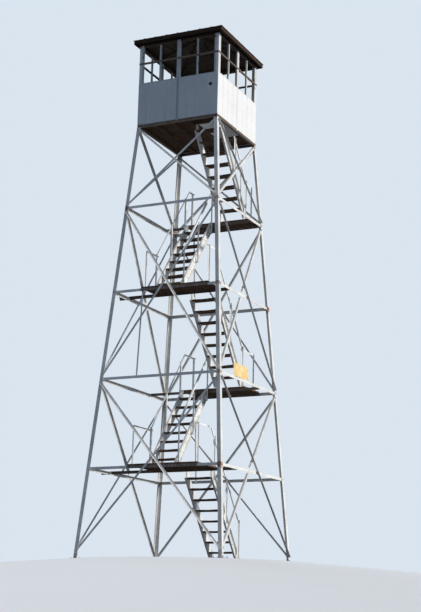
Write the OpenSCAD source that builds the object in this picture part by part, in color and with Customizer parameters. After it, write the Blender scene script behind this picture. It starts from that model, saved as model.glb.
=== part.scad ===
// Fire lookout tower: a square battered steel frame with a zigzag stair and a small cab on top.
// Origin at the centre of the base, at the underside of the feet. +Z is up, -Y is the front.

/* [Tower] */
// Width of the frame at the ground, over the legs
base_w = 3700; // [3400:10:4000]
// Height of one bay between two rings of girts
bay_h = 2080; // [2000:5:2160]

/* [Steel sections] */
// Width of a leg angle's flange
leg_w = 90; // [80:1:110]
// Thickness of a leg angle
leg_t = 8; // [6:0.5:12]
// Width of a girt angle's flange
girt_w = 65; // [60:1:75]
// Thickness of a girt angle
girt_t = 6; // [4:0.5:8]
// Width of a diagonal brace angle's flange
brace_w = 50; // [40:1:60]
// Thickness of a diagonal brace angle
brace_t = 5; // [4:0.5:7]

/* [Feet] */
// Side of a square foot plate
foot_w = 300; // [280:5:340]
// Thickness of a foot plate
foot_t = 16; // [10:1:25]
// How far a foot plate stands out past the leg's corner
foot_out = 70; // [60:1:80]
// Distance between the anchor holes of one foot
anchor_pitch = 220; // [210:1:240]
// Diameter of an anchor hole
anchor_d = 18; // [12:1:24]
// Height of the lugs that hold a leg on its foot plate
lug_h = 150; // [100:5:180]

/* [Stair] */
// Width of the treads between the stringers
tread_w = 610; // [560:5:620]
// Depth of a tread from front to back
tread_d = 195; // [170:1:200]
// Thickness of a tread
tread_t = 40; // [30:1:45]
// Number of risers in a flight
risers = 9; // [8:1:10]
// Depth of a channel stringer
stringer_d = 180; // [170:1:200]
// Flange width of a channel stringer
stringer_f = 45; // [35:1:50]
// Thickness of a channel stringer
stringer_t = 6; // [4:0.5:8]
// Sideways place of the flights that climb to the front
stair_front_x = 645; // [630:1:650]
// Sideways place of the flights that climb to the back
stair_back_x = -260; // [-280:1:-220]
// Distance from the middle of the tower to a landing's inner edge
landing_y = 720; // [700:1:740]
// Distance from the middle to where a flight's centre line meets the landing level
stair_y = 780; // [770:1:800]

/* [Landings] */
// Left end of the landings
deck_x0 = -640; // [-700:1:-630]
// Right end of the landings
deck_x1 = 1090; // [1040:1:1100]
// Number of planks in a landing
planks = 12; // [8:1:14]
// Thickness of a landing plank
plank_t = 38; // [25:1:45]
// Gap between two planks
plank_gap = 6; // [2:0.5:12]
// How far the beam of a front landing stands out past the left side
beam_past = 200; // [120:5:215]

/* [Rails] */
// Height of the hand rails above the treads' centre line and the landings
rail_h = 860; // [780:5:950]
// Flange width of the rail and newel angles
rail_w = 38; // [30:1:40]
// Thickness of the rail and newel angles
rail_t = 4; // [3:0.5:6]

/* [Cab] */
// Width of the cab over its posts
cab_w = 2134; // [2100:2:2180]
// Height of the window sill above the top of the frame
sill_h = 1030; // [900:5:1150]
// Height of the eave above the top of the frame
eave_h = 2090; // [2000:5:2250]
// Width of a sill angle's flange
sill_w = 65; // [60:1:65]
// Thickness of a sill angle
sill_t = 6; // [4:0.5:8]
// Width of a corner post angle's flange
post_w = 65; // [50:1:75]
// Thickness of a corner post angle
post_t = 6; // [4:0.5:8]
// Width of a floor joist
joist_w = 45; // [38:1:50]
// Width of a floor board
board_w = 140; // [100:5:180]
// Thickness of a floor board
board_t = 25; // [18:1:30]
// Length of the stair hatch in the floor
hatch_l = 1220; // [1100:5:1300]
// Thickness of a wall sheet
sheet_t = 2; // [1:0.1:3]
// How far a crimp of a wall sheet stands out
crimp_h = 9; // [4:0.5:15]
// Number of crimps in each half of a wall
crimps = 3; // [2:1:5]
// Width of the strip that covers the seam in the middle of a wall
seam_w = 60; // [40:1:80]

/* [Windows] */
// Width of a window frame's stiles and rails
sash_w = 48; // [35:1:60]
// Depth of a window frame
sash_d = 45; // [35:1:50]
// Width of the bars between the panes
bar_w = 36; // [25:1:50]
// Number of panes side by side in each of a wall's two sashes
pane_cols = 2; // [1:1:3]
// Height of the middle of the windows' level bars above the top of the frame
mid_bar_h = 1550; // [1450:5:1600]
// Width of the flat band round the cab over the level bars
band_w = 45; // [30:1:60]
// Thickness of that band
band_t = 4; // [3:0.5:8]

/* [Roof] */
// How far the roof stands out past the cab posts
overhang = 110; // [90:1:140]
// Rise of the roof for each unit of run
roof_slope = 0.37; // [0.3:0.01:0.45]
// Height of the timber plate under the rafters
plate_h = 70; // [60:1:90]
// Width of the timber plate under the rafters
plate_w = 60; // [50:1:80]
// Width of a rafter
rafter_w = 45; // [38:1:50]
// Depth of a rafter
rafter_d = 60; // [55:1:75]
// Thickness of the roof boards
roof_board_t = 18; // [15:1:22]
// Width of a roof board
roof_board_w = 160; // [130:5:200]
// Height of the fascia board
fascia_h = 80; // [60:1:100]
// Thickness of the fascia board
fascia_t = 22; // [18:1:25]
// Height of a rib of the roof sheets
rib_h = 12; // [8:1:15]

/* [Sign] */
// Width of the bare sign plate
sign_w = 750; // [600:10:800]
// Height of the bare sign plate
sign_h = 310; // [250:5:350]

/* [Hidden] */
// Clearance between separate pieces that bear on each other
seat = 0.3;
// Number of bays, and of stair flights
BAYS = 5;
// Colours
STEEL = "#aab0b4";
WEATHERED = "#8f969b";
TIMBER = "#6b4a33";
DARK_TIMBER = "#3d2b22";
SHEET = "#c9ced1";
SIGN = "#d8a24a";
// Height of the frame, and the cab's own level zero
tower_h = BAYS * bay_h;
// Inward lean of each side for each unit of height, and its angle
batter = (base_w - cab_w) / 2 / tower_h;
lean = atan(batter);
// Length up a leaning side for each unit of height
stretch = sqrt(1 + batter * batter);
cab_half = cab_w / 2;

// Half width of the frame at height z
function half_at(z) = base_w / 2 - batter * z;
// Half width of a side, measured in its own leaning plane, at distance w up the plane
function face_half(w) = base_w / 2 - batter / stretch * w;
// The rings at the crossing of a two-bay X are set in behind the braces
function is_mid(ring) = ring % 2 == 1;
// Front landings are on odd rings, back landings on even ones
function on_front(ring) = ring % 2 == 1;

// Sides are numbered 0 front, 1 right, 2 back, 3 left.
// Places its children on a leaning side: X along the side, Y inwards, Z up the slope.
module on_side(side) {
    rotate([0, 0, 90 * side])
        translate([0, -base_w / 2, 0])
            rotate([-lean, 0, 0])
                children();
}

// A flat plate in a side's plane, from an outline in (along, up), from depth d0 inwards
module side_plate(points, d0, t) {
    translate([0, d0 + t, 0])
        rotate([90, 0, 0])
            linear_extrude(t)
                polygon(points);
}

// A prism along X from an outline in (Y, Z)
module prism_x(points, x0, x1) {
    translate([x0, 0, 0])
        rotate([90, 0, 90])
            linear_extrude(x1 - x0)
                polygon(points);
}

// A block given by its two opposite corners
module block(low, high) {
    translate(low)
        cube(high - low);
}

// Mirrors its children from right to left when hand is negative
module mirrored_x(hand) {
    if (hand < 0)
        mirror([1, 0, 0])
            children();
    else
        children();
}

// Mirrors its children from back to front when facing is negative
module mirrored_y(facing) {
    if (facing < 0)
        mirror([0, 1, 0])
            children();
    else
        children();
}

// Legs

// Small setback that keeps a leg's two flanges from sharing one edge
heel = 1;
sill_bottom = tower_h - sill_w;

module leg_flange(side, hand, setback) {
    w1 = tower_h * stretch;
    outer0 = face_half(0) - setback;
    outer1 = face_half(w1) - setback;
    inner0 = face_half(0) - leg_w;
    inner1 = face_half(w1) - leg_w;
    on_side(side)
        side_plate([
            [hand * inner0, 0], [hand * outer0, 0],
            [hand * outer1, w1], [hand * inner1, w1]
        ], 0, leg_t);
}

// The leg at the right-hand end of a side
module leg(side) {
    color(STEEL)
        intersection() {
            union() {
                leg_flange(side, 1, heel);
                leg_flange((side + 1) % 4, -1, heel / 2);
            }
            block([-base_w, -base_w, foot_t + seat], [base_w, base_w, sill_bottom - seat]);
        }
}

// Feet

foot_c = base_w / 2 + foot_out - foot_w / 2;

module shoe_lug(side, hand) {
    on_side(side)
        side_plate([
            [hand * (face_half(0) - leg_w), 0], [hand * (face_half(0) - leg_t - heel), 0],
            [hand * (face_half(lug_h) - leg_t - heel), lug_h], [hand * (face_half(lug_h) - leg_w), lug_h]
        ], leg_t + seat, leg_t);
}

module foot_shoes() {
    for (side = [0:3])
        color(WEATHERED)
            difference() {
                union() {
                    rotate([0, 0, 90 * side])
                        translate([foot_c, -foot_c, 0])
                            block([-foot_w / 2, -foot_w / 2, 0], [foot_w / 2, foot_w / 2, foot_t]);
                    intersection() {
                        union() {
                            shoe_lug(side, 1);
                            shoe_lug((side + 1) % 4, -1);
                        }
                        block([-base_w, -base_w, foot_t / 2], [base_w, base_w, tower_h]);
                    }
                }
                rotate([0, 0, 90 * side])
                    translate([foot_c, -foot_c, 0])
                        for (sx = [-1, 1], sy = [-1, 1])
                            translate([sx * anchor_pitch / 2, sy * anchor_pitch / 2, -foot_t])
                                cylinder(d = anchor_d, h = 3 * foot_t, $fn = 32);
            }
}

// Girts

// Depth of a girt's back face behind the leaning side's outer plane
function girt_depth(ring) = leg_t + seat + (is_mid(ring) ? brace_t + seat : 0);
// Half length of a girt: it stops short of the next side's girt
girt_end_gap = 3;
function girt_half(ring) =
    half_at(ring * bay_h) - (girt_depth(ring) + girt_t) * stretch - girt_end_gap;
// Front and back girts lie one flange higher and lap over the side ones
function girt_top(ring, side) = ring * bay_h + (side % 2 == 0 ? girt_t + seat : 0);

// Outline in (Y, Z) of a plate that leans with the front side, between two depths and two heights
function leaning_strip(depth0, depth1, z0, z1) = [
    [-half_at(z0) + depth0 * stretch, z0], [-half_at(z0) + depth1 * stretch, z0],
    [-half_at(z1) + depth1 * stretch, z1], [-half_at(z1) + depth0 * stretch, z1]
];

// An angle with one flange in the leaning side and the other level, at its top
module girt(ring, side) {
    top = girt_top(ring, side);
    depth = girt_depth(ring);
    reach = girt_half(ring);
    back = -half_at(top) + depth * stretch;
    rotate([0, 0, 90 * side])
        union() {
            prism_x(leaning_strip(depth, depth + girt_t, top - girt_w, top), -reach, reach);
            block([-reach, back, top - girt_t], [reach, back + girt_w, top]);
            if (is_mid(ring))
                for (hand = [-1, 1])
                    prism_x(
                        leaning_strip(leg_t + seat, depth + girt_t / 2, top - girt_w, top - girt_t),
                        hand > 0 ? reach - leg_w / 2 : -reach,
                        hand > 0 ? reach : -reach + leg_w / 2
                    );
        }
}

module girts(side) {
    color(STEEL)
        for (ring = [1:BAYS - 1])
            girt(ring, side);
}

// Braces

// Clear height between a brace's end and the girt above or below it
brace_gap = 45;
// How far in from the leg's edge a brace ends, at the middle of the leg's flange
brace_in = leg_w / 2;
// Half side of the packing block between two crossed braces
pack_half = brace_w / 3;

// An angle from p0 to p1 in a side's plane: its flat flange starts at depth d0, and its other
// flange stands along its upper edge, inwards or outwards, over the given stretches of its length
module brace_bar(p0, p1, d0, inwards, stretches) {
    run = p1 - p0;
    translate([p0[0], 0, p0[1]])
        rotate([0, -atan2(run[1], run[0]), 0])
            union() {
                block([0, d0, -brace_w / 2], [norm(run), d0 + brace_t, brace_w / 2]);
                for (part = stretches)
                    if (inwards)
                        block([part[0], d0, brace_w / 2 - brace_t], [part[1], d0 + brace_w, brace_w / 2]);
                    else
                        block([part[0], d0 + brace_t - brace_w, brace_w / 2 - brace_t],
                              [part[1], d0 + brace_t, brace_w / 2]);
            }
}

// Where the two diagonals of an X between (w0, w1) cross: height up the side's plane
function cross_w(w0, w1) =
    let (a = face_half(w0) - brace_in, b = face_half(w1) - brace_in) w0 + (w1 - w0) * a / (a + b);

// The crossed pair between two rings: one diagonal outside the legs, one inside,
// with a packing block between them, and the inner one coped round a mid girt and its planks
module brace_pair(ring0, ring1) {
    low = ring0 == 0 ? foot_t + lug_h : ring0 * bay_h + girt_t;
    w0 = (low + brace_gap) * stretch;
    w1 = (ring1 * bay_h - girt_w - brace_gap) * stretch;
    u0 = face_half(w0) - brace_in;
    u1 = face_half(w1) - brace_in;
    mid_top = (ring0 + ring1) / 2 * bay_h;
    cope0 = (mid_top - girt_w - brace_gap / 2) * stretch;
    cope1 = (mid_top + girt_t + plank_t + brace_gap / 2) * stretch;
    inner = leg_t + seat;
    cross = cross_w(w0, w1);
    angle = atan2(w1 - w0, u0 + u1);
    length = norm([u0 + u1, w1 - w0]);
    // Lengths along the bar at which its upper flange reaches the cope and leaves it
    stop = (cope0 - w0 - brace_w / 2 * cos(angle)) / sin(angle);
    start = (cope1 - w0 - (brace_w / 2 - brace_t) * cos(angle)) / sin(angle);
    brace_bar([u0, w0], [-u1, w1], -seat - brace_t, false, [[0, length]]);
    union() {
        brace_bar([-u0, w0], [u1, w1], inner, true,
                  ring1 - ring0 == 2 ? [[0, stop], [start, length]] : [[0, length]]);
        block([-pack_half, 0, cross - pack_half], [pack_half, inner + brace_t / 2, cross + pack_half]);
    }
}

module braces(side) {
    color(WEATHERED)
        on_side(side) {
            brace_pair(0, 2);
            brace_pair(2, 4);
            brace_pair(4, 5);
        }
}

// Landings

// Levels of the walking surface above a ring
flange_top = girt_t + 2 * seat;
deck_rise = flange_top + plank_t;
// How far a plank's outer end stays behind the girt's upright flange
plank_set = 3;

module landing_deck(ring) {
    z0 = ring * bay_h + flange_top;
    outer = half_at(ring * bay_h) - (girt_depth(ring) + girt_t) * stretch - plank_set;
    pitch = (deck_x1 - deck_x0 + plank_gap) / planks;
    facing = on_front(ring) ? -1 : 1;
    color(TIMBER)
        for (i = [0:planks - 1])
            let (x0 = deck_x0 + i * pitch, x1 = x0 + pitch - plank_gap)
                block([x0, facing < 0 ? -outer : landing_y, z0],
                      [x1, facing < 0 ? -landing_y : outer, z0 + plank_t]);
}

// The beam under a landing's inner edge: its level flange lies on the side girts, and its
// upright flange hangs between them and, at the front, outside the left one
module landing_beam(ring) {
    z = ring * bay_h;
    on_girts = girt_half(ring) - girt_end_gap;
    between = half_at(z) - girt_depth(ring) * stretch - girt_w - girt_end_gap;
    past = half_at(z) + beam_past;
    facing = on_front(ring) ? 0 : 180;
    color(STEEL)
        rotate([0, 0, facing])
            union() {
                block([on_front(ring) ? -past : -on_girts, -landing_y - girt_w, z + seat],
                      [on_girts, -landing_y, z + seat + girt_t]);
                block([-between, -landing_y - girt_t, z + seat + girt_t - girt_w],
                      [between, -landing_y, z + seat + girt_t]);
                if (on_front(ring))
                    block([-past, -landing_y - girt_t, z + seat + girt_t - girt_w],
                          [-half_at(z) - 2 * girt_end_gap, -landing_y, z + seat + girt_t]);
            }
}

// An angle that hangs from a landing's girt to the girt below, inside the braces
module landing_hanger(ring) {
    side = on_front(ring) ? 0 : 2;
    x0 = on_front(ring) ? deck_x0 : -deck_x0 - rail_w;
    depth = max(girt_depth(ring - 1), girt_depth(ring)) + girt_w + seat;
    w0 = ((ring - 1) * bay_h - girt_w / 2) * stretch;
    w1 = (ring * bay_h + flange_top - seat) * stretch + depth * batter;
    color(STEEL)
        on_side(side)
            translate([x0, depth, 0])
                union() {
                    block([0, 0, w0], [rail_w, rail_t, w1]);
                    block([0, 0, w0], [rail_t, rail_w, w1]);
                }
}

// Stair

rise = bay_h / risers;
going = 2 * stair_y / risers;
pitch_angle = atan2(bay_h, 2 * stair_y);
stair_half = tread_w / 2 + seat + stringer_f;
// The level from which a flight's steps are counted, and the level its stringers stand on
function flight_zero(n) = (n - 1) * bay_h + deck_rise;
function flight_foot(n) = n == 1 ? -deck_rise : seat;
function flight_x(n) = n % 2 == 1 ? stair_front_x : stair_back_x;

// Places its children in a flight's own frame: it climbs along +Y from -stair_y to +stair_y
module in_flight(n) {
    translate([flight_x(n), 0, flight_zero(n)])
        rotate([0, 0, n % 2 == 1 ? 180 : 0])
            children();
}

// Cleats that carry the treads
cleat_w = 40;
cleat_t = 5;
cleat_l = 150;

module stringer(n, hand) {
    web = tread_w / 2 + seat;
    // Longer than the flight: both ends are cut off level
    long = 2 * bay_h;
    intersection() {
        union() {
            translate([0, -stair_y, -tread_t / 2])
                rotate([pitch_angle, 0, 0])
                    mirrored_x(hand) {
                        block([web, -long, -stringer_d / 2], [web + stringer_t, long, stringer_d / 2]);
                        for (edge = [-1, 1])
                            block([web, -long, edge * stringer_d / 2 - (edge > 0 ? stringer_t : 0)],
                                  [web + stringer_f, long,
                                   edge * stringer_d / 2 + (edge > 0 ? 0 : stringer_t)]);
                    }
            mirrored_x(hand)
                for (i = [1:risers - 1])
                    translate([0, -stair_y + i * going - cleat_l / 2, i * rise - tread_t - seat])
                        union() {
                            block([web - cleat_w, 0, -cleat_t], [web, cleat_l, 0]);
                            block([web - cleat_t, 0, -cleat_w], [web + stringer_t / 2, cleat_l, 0]);
                        }
        }
        block([-base_w, -long, flight_foot(n)], [base_w, landing_y - seat, bay_h]);
    }
}

module flight_stringers(n) {
    color(STEEL)
        in_flight(n) {
            stringer(n, 1);
            stringer(n, -1);
        }
}

module flight_treads(n) {
    color(TIMBER)
        in_flight(n)
            for (i = [1:risers - 1])
                translate([0, -stair_y + i * going, i * rise - tread_t])
                    block([-tread_w / 2, -tread_d / 2, 0], [tread_w / 2, tread_d / 2, tread_t]);
}

// Rails

// Distance of a newel from the landing's edge, measured along the flight
newel_in = 22;
// How far a flight's rail runs on over the landing that it climbs to
rail_on = 30;
rail_x = stair_half + seat;
// Height of the level end rails above the landings: a flight's rail ends at the same height
level_rail_h = (2 * stair_y + rail_on) * tan(pitch_angle) - bay_h + rail_h;

// An upright angle with its two flat backs on the planes x = 0 and y = 0
module newel(y, z0, z1) {
    translate([rail_x, y, 0])
        union() {
            block([0, 0, z0], [rail_t, rail_w, z1]);
            block([0, 0, z0], [rail_w, rail_t, z1]);
        }
}

// One rail of a flight at its right (hand 1) or left (hand -1) edge: newels at its foot,
// middle and head stand against the stringer's flanges, and the rail lies on their inner faces
module flight_rail(n, hand) {
    top = n == BAYS;
    foot_y = -landing_y + newel_in;
    head_y = (top ? 0 : landing_y) - newel_in - rail_w;
    end_y = top ? head_y + rail_w : stair_y + rail_on;
    stand = stringer_d / 2 / cos(pitch_angle);
    slope = tan(pitch_angle);
    mirrored_x(hand) {
        for (y = [foot_y, (foot_y + head_y) / 2, head_y])
            let (line = (y + stair_y) * slope)
                newel(y, max(line - stand, seat), line + rail_h);
        translate([rail_x - seat, foot_y, (foot_y + stair_y) * slope + rail_h])
            rotate([pitch_angle, 0, 0])
                let (length = (end_y - foot_y) / cos(pitch_angle))
                    union() {
                        block([-rail_t, 0, -rail_w / 2], [0, length, rail_w / 2]);
                        block([-rail_w, 0, rail_w / 2 - rail_t], [0, length, rail_w / 2]);
                    }
    }
}

// The level rail at a landing's left (hand -1) or right (hand 1) end, on the newel of the flight
// that starts there, or on from the rail of the flight that ends there, to a post by the girt
module end_rail(ring, hand) {
    facing = on_front(ring) ? -1 : 1;
    // The flight that ends at this landing is on the right at the front, on the left at the back
    ends_here = hand * facing < 0;
    reach = half_at(ring * bay_h + level_rail_h) - leg_t - 2 * brace_w;
    start = ends_here
        ? stair_y + rail_on + rail_w / 2 * sin(pitch_angle) + seat
        : landing_y - newel_in - rail_w;
    translate([hand < 0 ? stair_back_x : stair_front_x, 0, ring * bay_h + deck_rise])
        mirrored_x(hand)
            mirrored_y(facing) {
                newel(reach - rail_w, seat, level_rail_h);
                union() {
                    block([rail_x - seat - rail_t, start, level_rail_h - rail_w],
                          [rail_x - seat, reach, level_rail_h]);
                    block([rail_x - seat - rail_w, start, level_rail_h - rail_t],
                          [rail_x - seat, reach, level_rail_h]);
                }
            }
}

module stair_rails() {
    color(STEEL) {
        for (n = [1:BAYS])
            in_flight(n) {
                flight_rail(n, -1);
                if (n % 2 == 0)
                    flight_rail(n, 1);
            }
        for (ring = [1:BAYS - 1], hand = [-1, 1])
            end_rail(ring, hand);
    }
}

// Sign

// Side and ring of the girt that carries the sign, the sign's end nearer the front side's leg,
// and its height above the girt
sign_side = 1;
sign_ring = 2;
sign_x = -800;
sign_lift = 10;
strap_w = 30;
strap_t = 4;

module sign_plate() {
    w0 = girt_top(sign_ring, sign_side) * stretch;
    plate0 = w0 + sign_lift;
    plate1 = plate0 + sign_h;
    strap0 = leg_t - strap_t;
    on_side(sign_side) {
        color(STEEL)
            for (x = [sign_x + strap_w, sign_x + sign_w - 2 * strap_w])
                block([x, strap0, w0 - girt_w / 2], [x + strap_w, leg_t, plate1 - strap_w]);
        color(SIGN)
            block([sign_x, strap0 - seat - sheet_t, plate0], [sign_x + sign_w, strap0 - seat, plate1]);
    }
}

// Cab

module in_cab() {
    translate([0, 0, tower_h])
        children();
}

// The four sill angles: front and back ones run through, the side ones fit between them
module cab_sill_frame() {
    color(STEEL)
        in_cab()
            for (side = [0:3])
                rotate([0, 0, 90 * side])
                    let (through = side % 2 == 0)
                    let (upright = cab_half - (through ? 0 : sill_t + seat))
                    let (level = cab_half - (through ? sill_t : sill_w) - seat)
                        union() {
                            block([-upright, -cab_half, -sill_w], [upright, -cab_half + sill_t, 0]);
                            block([-level, -cab_half, -sill_w],
                                  [level, -cab_half + sill_w, sill_t - sill_w]);
                        }
}

// The hatch is cut over the upper flight, just wider than its stringers
hatch_x0 = stair_front_x - stair_half - 2 * seat;
hatch_x1 = stair_front_x + stair_half + 2 * seat;
hatch_y0 = -landing_y;
hatch_y1 = hatch_y0 + hatch_l;
joist_z0 = sill_t - sill_w + seat;
board_z0 = deck_rise - board_t;
joist_z1 = board_z0 - seat;
// Clearance between the floor and the walls
floor_gap = 2;
floor_half = cab_half - sill_t - floor_gap;
// Number of free joists between the left edge and the hatch
free_joists = 2;

module cab_floor_joists() {
    first = -floor_half;
    last = hatch_x0 - joist_w;
    right = floor_half - joist_w;
    color(TIMBER)
        in_cab() {
            for (i = [0:free_joists + 1])
                let (x = first + (last - first) * i / (free_joists + 1))
                    block([x, -floor_half, joist_z0], [x + joist_w, floor_half, joist_z1]);
            block([right, -floor_half, joist_z0], [floor_half, floor_half, joist_z1]);
            for (y = [hatch_y0 - joist_w, hatch_y1])
                block([hatch_x0 + seat, y, joist_z0], [right - seat, y + joist_w, joist_z1]);
        }
}

// Boards laid side by side across the given rectangle
module floor_zone(x0, x1, y0, y1) {
    count = max(1, round((y1 - y0) / board_w));
    pitch = (y1 - y0) / count;
    for (i = [0:count - 1])
        block([x0, y0 + i * pitch + seat, board_z0], [x1, y0 + (i + 1) * pitch - seat, deck_rise]);
}

module cab_floor_boards() {
    color(TIMBER)
        in_cab() {
            floor_zone(-floor_half, floor_half, -floor_half, hatch_y0);
            floor_zone(-floor_half, hatch_x0, hatch_y0, hatch_y1);
            floor_zone(hatch_x1, floor_half, hatch_y0, hatch_y1);
            floor_zone(-floor_half, floor_half, hatch_y1, floor_half);
        }
}

plate_z0 = eave_h - plate_h;
window_z0 = sill_h - sash_w / 2;

// Corner posts are angles, a flat post stands behind each wall's seam, and a flat band goes
// round the posts halfway up the windows
module cab_posts() {
    color(STEEL)
        in_cab()
            for (side = [0:3])
                rotate([0, 0, 90 * side]) {
                    union() {
                        block([cab_half - post_w, -cab_half, seat],
                              [cab_half, -cab_half + post_t, plate_z0 - seat]);
                        block([cab_half - post_t, -cab_half, seat],
                              [cab_half, -cab_half + post_w, plate_z0 - seat]);
                    }
                    block([-sash_w / 2, -cab_half, seat],
                          [sash_w / 2, -cab_half + post_t, window_z0 - seat]);
                    let (reach = cab_half + (side % 2 == 0 ? seat + band_t : 0))
                        block([-reach, -cab_half - seat - band_t, mid_bar_h - band_w / 2],
                              [reach, -cab_half - seat, mid_bar_h + band_w / 2]);
                }
}

// How far the wall sheets lap down over the sill angles
sheet_lap = 30;

// Outline of one half wall: a flat sheet with vee crimps standing outwards at even steps
function crimped(x0, x1) =
    let (step = (x1 - x0) / (crimps + 1))
    concat(
        [[x0, 0], [x0, -sheet_t]],
        [for (i = [1:crimps]) each [
            [x0 + i * step - crimp_h, -sheet_t],
            [x0 + i * step, -sheet_t - crimp_h],
            [x0 + i * step + crimp_h, -sheet_t]
        ]],
        [[x1, -sheet_t], [x1, 0]],
        [for (i = [crimps:-1:1]) each [
            [x0 + i * step + crimp_h - sheet_t, 0],
            [x0 + i * step, -crimp_h + sheet_t / 2],
            [x0 + i * step - crimp_h + sheet_t, 0]
        ]]
    );

module wall_sheets(side) {
    reach = cab_half + (side % 2 == 0 ? seat + sheet_t : 0);
    color(SHEET)
        in_cab()
            rotate([0, 0, 90 * side])
                translate([0, -cab_half - seat, -sheet_lap])
                    linear_extrude(sill_h + sheet_lap) {
                        polygon(crimped(-reach, -seat));
                        polygon(crimped(seat, reach));
                        translate([-seam_w / 2, -2 * sheet_t - seat])
                            square([seam_w, sheet_t]);
                    }
}

// Windows

// Setback of the thinner level bars from both faces of a sash
bar_set = 11;

// Edges of a sash's uprights from left to right: a stile at each end and thinner bars between
function uprights(x0, x1) =
    let (pitch = (x1 - x0) / pane_cols)
    concat(
        [[x0, x0 + sash_w]],
        [for (i = [1:1:pane_cols - 1])
            let (x = x0 + i * pitch) [x - bar_w / 2, x + bar_w / 2]],
        [[x1 - sash_w, x1]]
    );

// A sash of two rows of panes, its outer face on the plane y = 0
module sash(x0, x1, z0, z1) {
    bars = uprights(x0, x1);
    for (z = [z0, z1 - sash_w])
        block([x0, 0, z], [x1, sash_d, z + sash_w]);
    for (bar = bars)
        block([bar[0], 0, z0 + sash_w + seat], [bar[1], sash_d, z1 - sash_w - seat]);
    for (i = [1:pane_cols])
        block([bars[i - 1][1] + seat, bar_set, mid_bar_h - bar_w / 2],
              [bars[i][0] - seat, sash_d - bar_set, mid_bar_h + bar_w / 2]);
}

// The two sashes over a wall meet behind its seam
module window_frame(side) {
    half = cab_half - post_w - seat;
    color(WEATHERED)
        in_cab()
            rotate([0, 0, 90 * side])
                translate([0, -cab_half, 0]) {
                    sash(-half, -seat / 2, window_z0, plate_z0 - seat);
                    sash(seat / 2, half, window_z0, plate_z0 - seat);
                }
}

// Roof

roof_half = cab_half + overhang;
roof_angle = atan(roof_slope);
// Length down the slope for each unit of run
roof_stretch = sqrt(1 + roof_slope * roof_slope);
rafter_v = rafter_d * roof_stretch;
// Level of the rafters' top plane at the eave, so that they bear on the plate's outer edge
eave_z = eave_h + seat + rafter_v - roof_slope * overhang;
// Half side of the block where the rafters meet
hub_half = 75;
hub_top = eave_z + roof_slope * (roof_half - hub_half);
// A hip rafter is lowered so that its flat top stays under both roof planes
hip_drop = rafter_w / 2 * roof_slope / sqrt(2) + seat;
hip_angle = atan(roof_slope / sqrt(2));

module eave_timbers() {
    color(DARK_TIMBER)
        in_cab()
            for (side = [0:3])
                rotate([0, 0, 90 * side])
                    let (through = side % 2 == 0)
                    let (plate = cab_half - (through ? 0 : plate_w + seat))
                    let (board = roof_half - (through ? 0 : fascia_t + seat)) {
                        block([-plate, -cab_half, plate_z0], [plate, -cab_half + plate_w, eave_h]);
                        block([-board, -roof_half, eave_z - seat - fascia_h],
                              [board, -roof_half + fascia_t, eave_z - seat]);
                    }
}

// A rafter along -Y whose top starts at the hub and falls at the given angle
module rafter(start, finish, top, angle, depth_v) {
    fall = tan(angle);
    z0 = top;
    z1 = top - (finish - start) * fall;
    prism_x([
        [-start, z0], [-start, z0 - depth_v], [-finish, z1 - depth_v], [-finish, z1]
    ], -rafter_w / 2, rafter_w / 2);
}

module roof_rafters() {
    hip_start = hub_half * sqrt(2) + seat;
    hip_finish = (roof_half - fascia_t) * sqrt(2) - rafter_w / 2 - seat;
    color(DARK_TIMBER)
        in_cab() {
            block([-hub_half, -hub_half, hub_top - rafter_v], [hub_half, hub_half, hub_top - seat]);
            for (side = [0:3]) {
                rotate([0, 0, 90 * side])
                    rafter(hub_half + seat, roof_half - fascia_t - seat,
                           eave_z + roof_slope * (roof_half - hub_half - seat), roof_angle, rafter_v);
                rotate([0, 0, 90 * side + 45])
                    rafter(hip_start, hip_finish,
                           hub_top - seat * roof_slope - hip_drop, hip_angle, rafter_v - hip_drop);
            }
        }
}

// Places its children on a roof slope: X along the eave, Y up the slope from the eave, Z outwards
module on_slope(side) {
    rotate([0, 0, 90 * side])
        translate([0, -roof_half, eave_z])
            rotate([roof_angle, 0, 0])
                children();
}

slope_l = roof_half * roof_stretch;
// Half width of a roof slope at distance v up from the eave
function slope_half(v) = roof_half - v / roof_stretch;
// Clearance between two slopes along a hip
hip_gap = 1;

module roof_boards() {
    count = ceil(slope_l / roof_board_w);
    step = slope_l / count;
    color(DARK_TIMBER)
        in_cab()
            for (side = [0:3])
                on_slope(side)
                    for (i = [0:count - 1])
                        let (v0 = i * step + seat, v1 = (i + 1) * step - seat)
                            translate([0, 0, seat])
                                linear_extrude(roof_board_t)
                                    polygon([
                                        [-slope_half(v0) + hip_gap, v0], [slope_half(v0) - hip_gap, v0],
                                        [max(slope_half(v1) - hip_gap, 0), v1],
                                        [min(-slope_half(v1) + hip_gap, 0), v1]
                                    ]);
}

// Ribs of a roof sheet, the hip caps and how far the sheets stand past the fascia
rib_w = 22;
rib_step = 300;
cap_w = 90;
sheet_out = 12;
rib_count = floor((cab_half - cap_w) / rib_step);

// How far the edges of two plates on neighbouring slopes run past the hip line to meet,
// measured along the eave, when their outer faces lie at this height above the slopes
function hip_meet(height) =
    (height + seat) * tan(acos(1 / (1 + roof_slope * roof_slope)) / 2)
        * sqrt(1 + 1 / (roof_stretch * roof_stretch));

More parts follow.
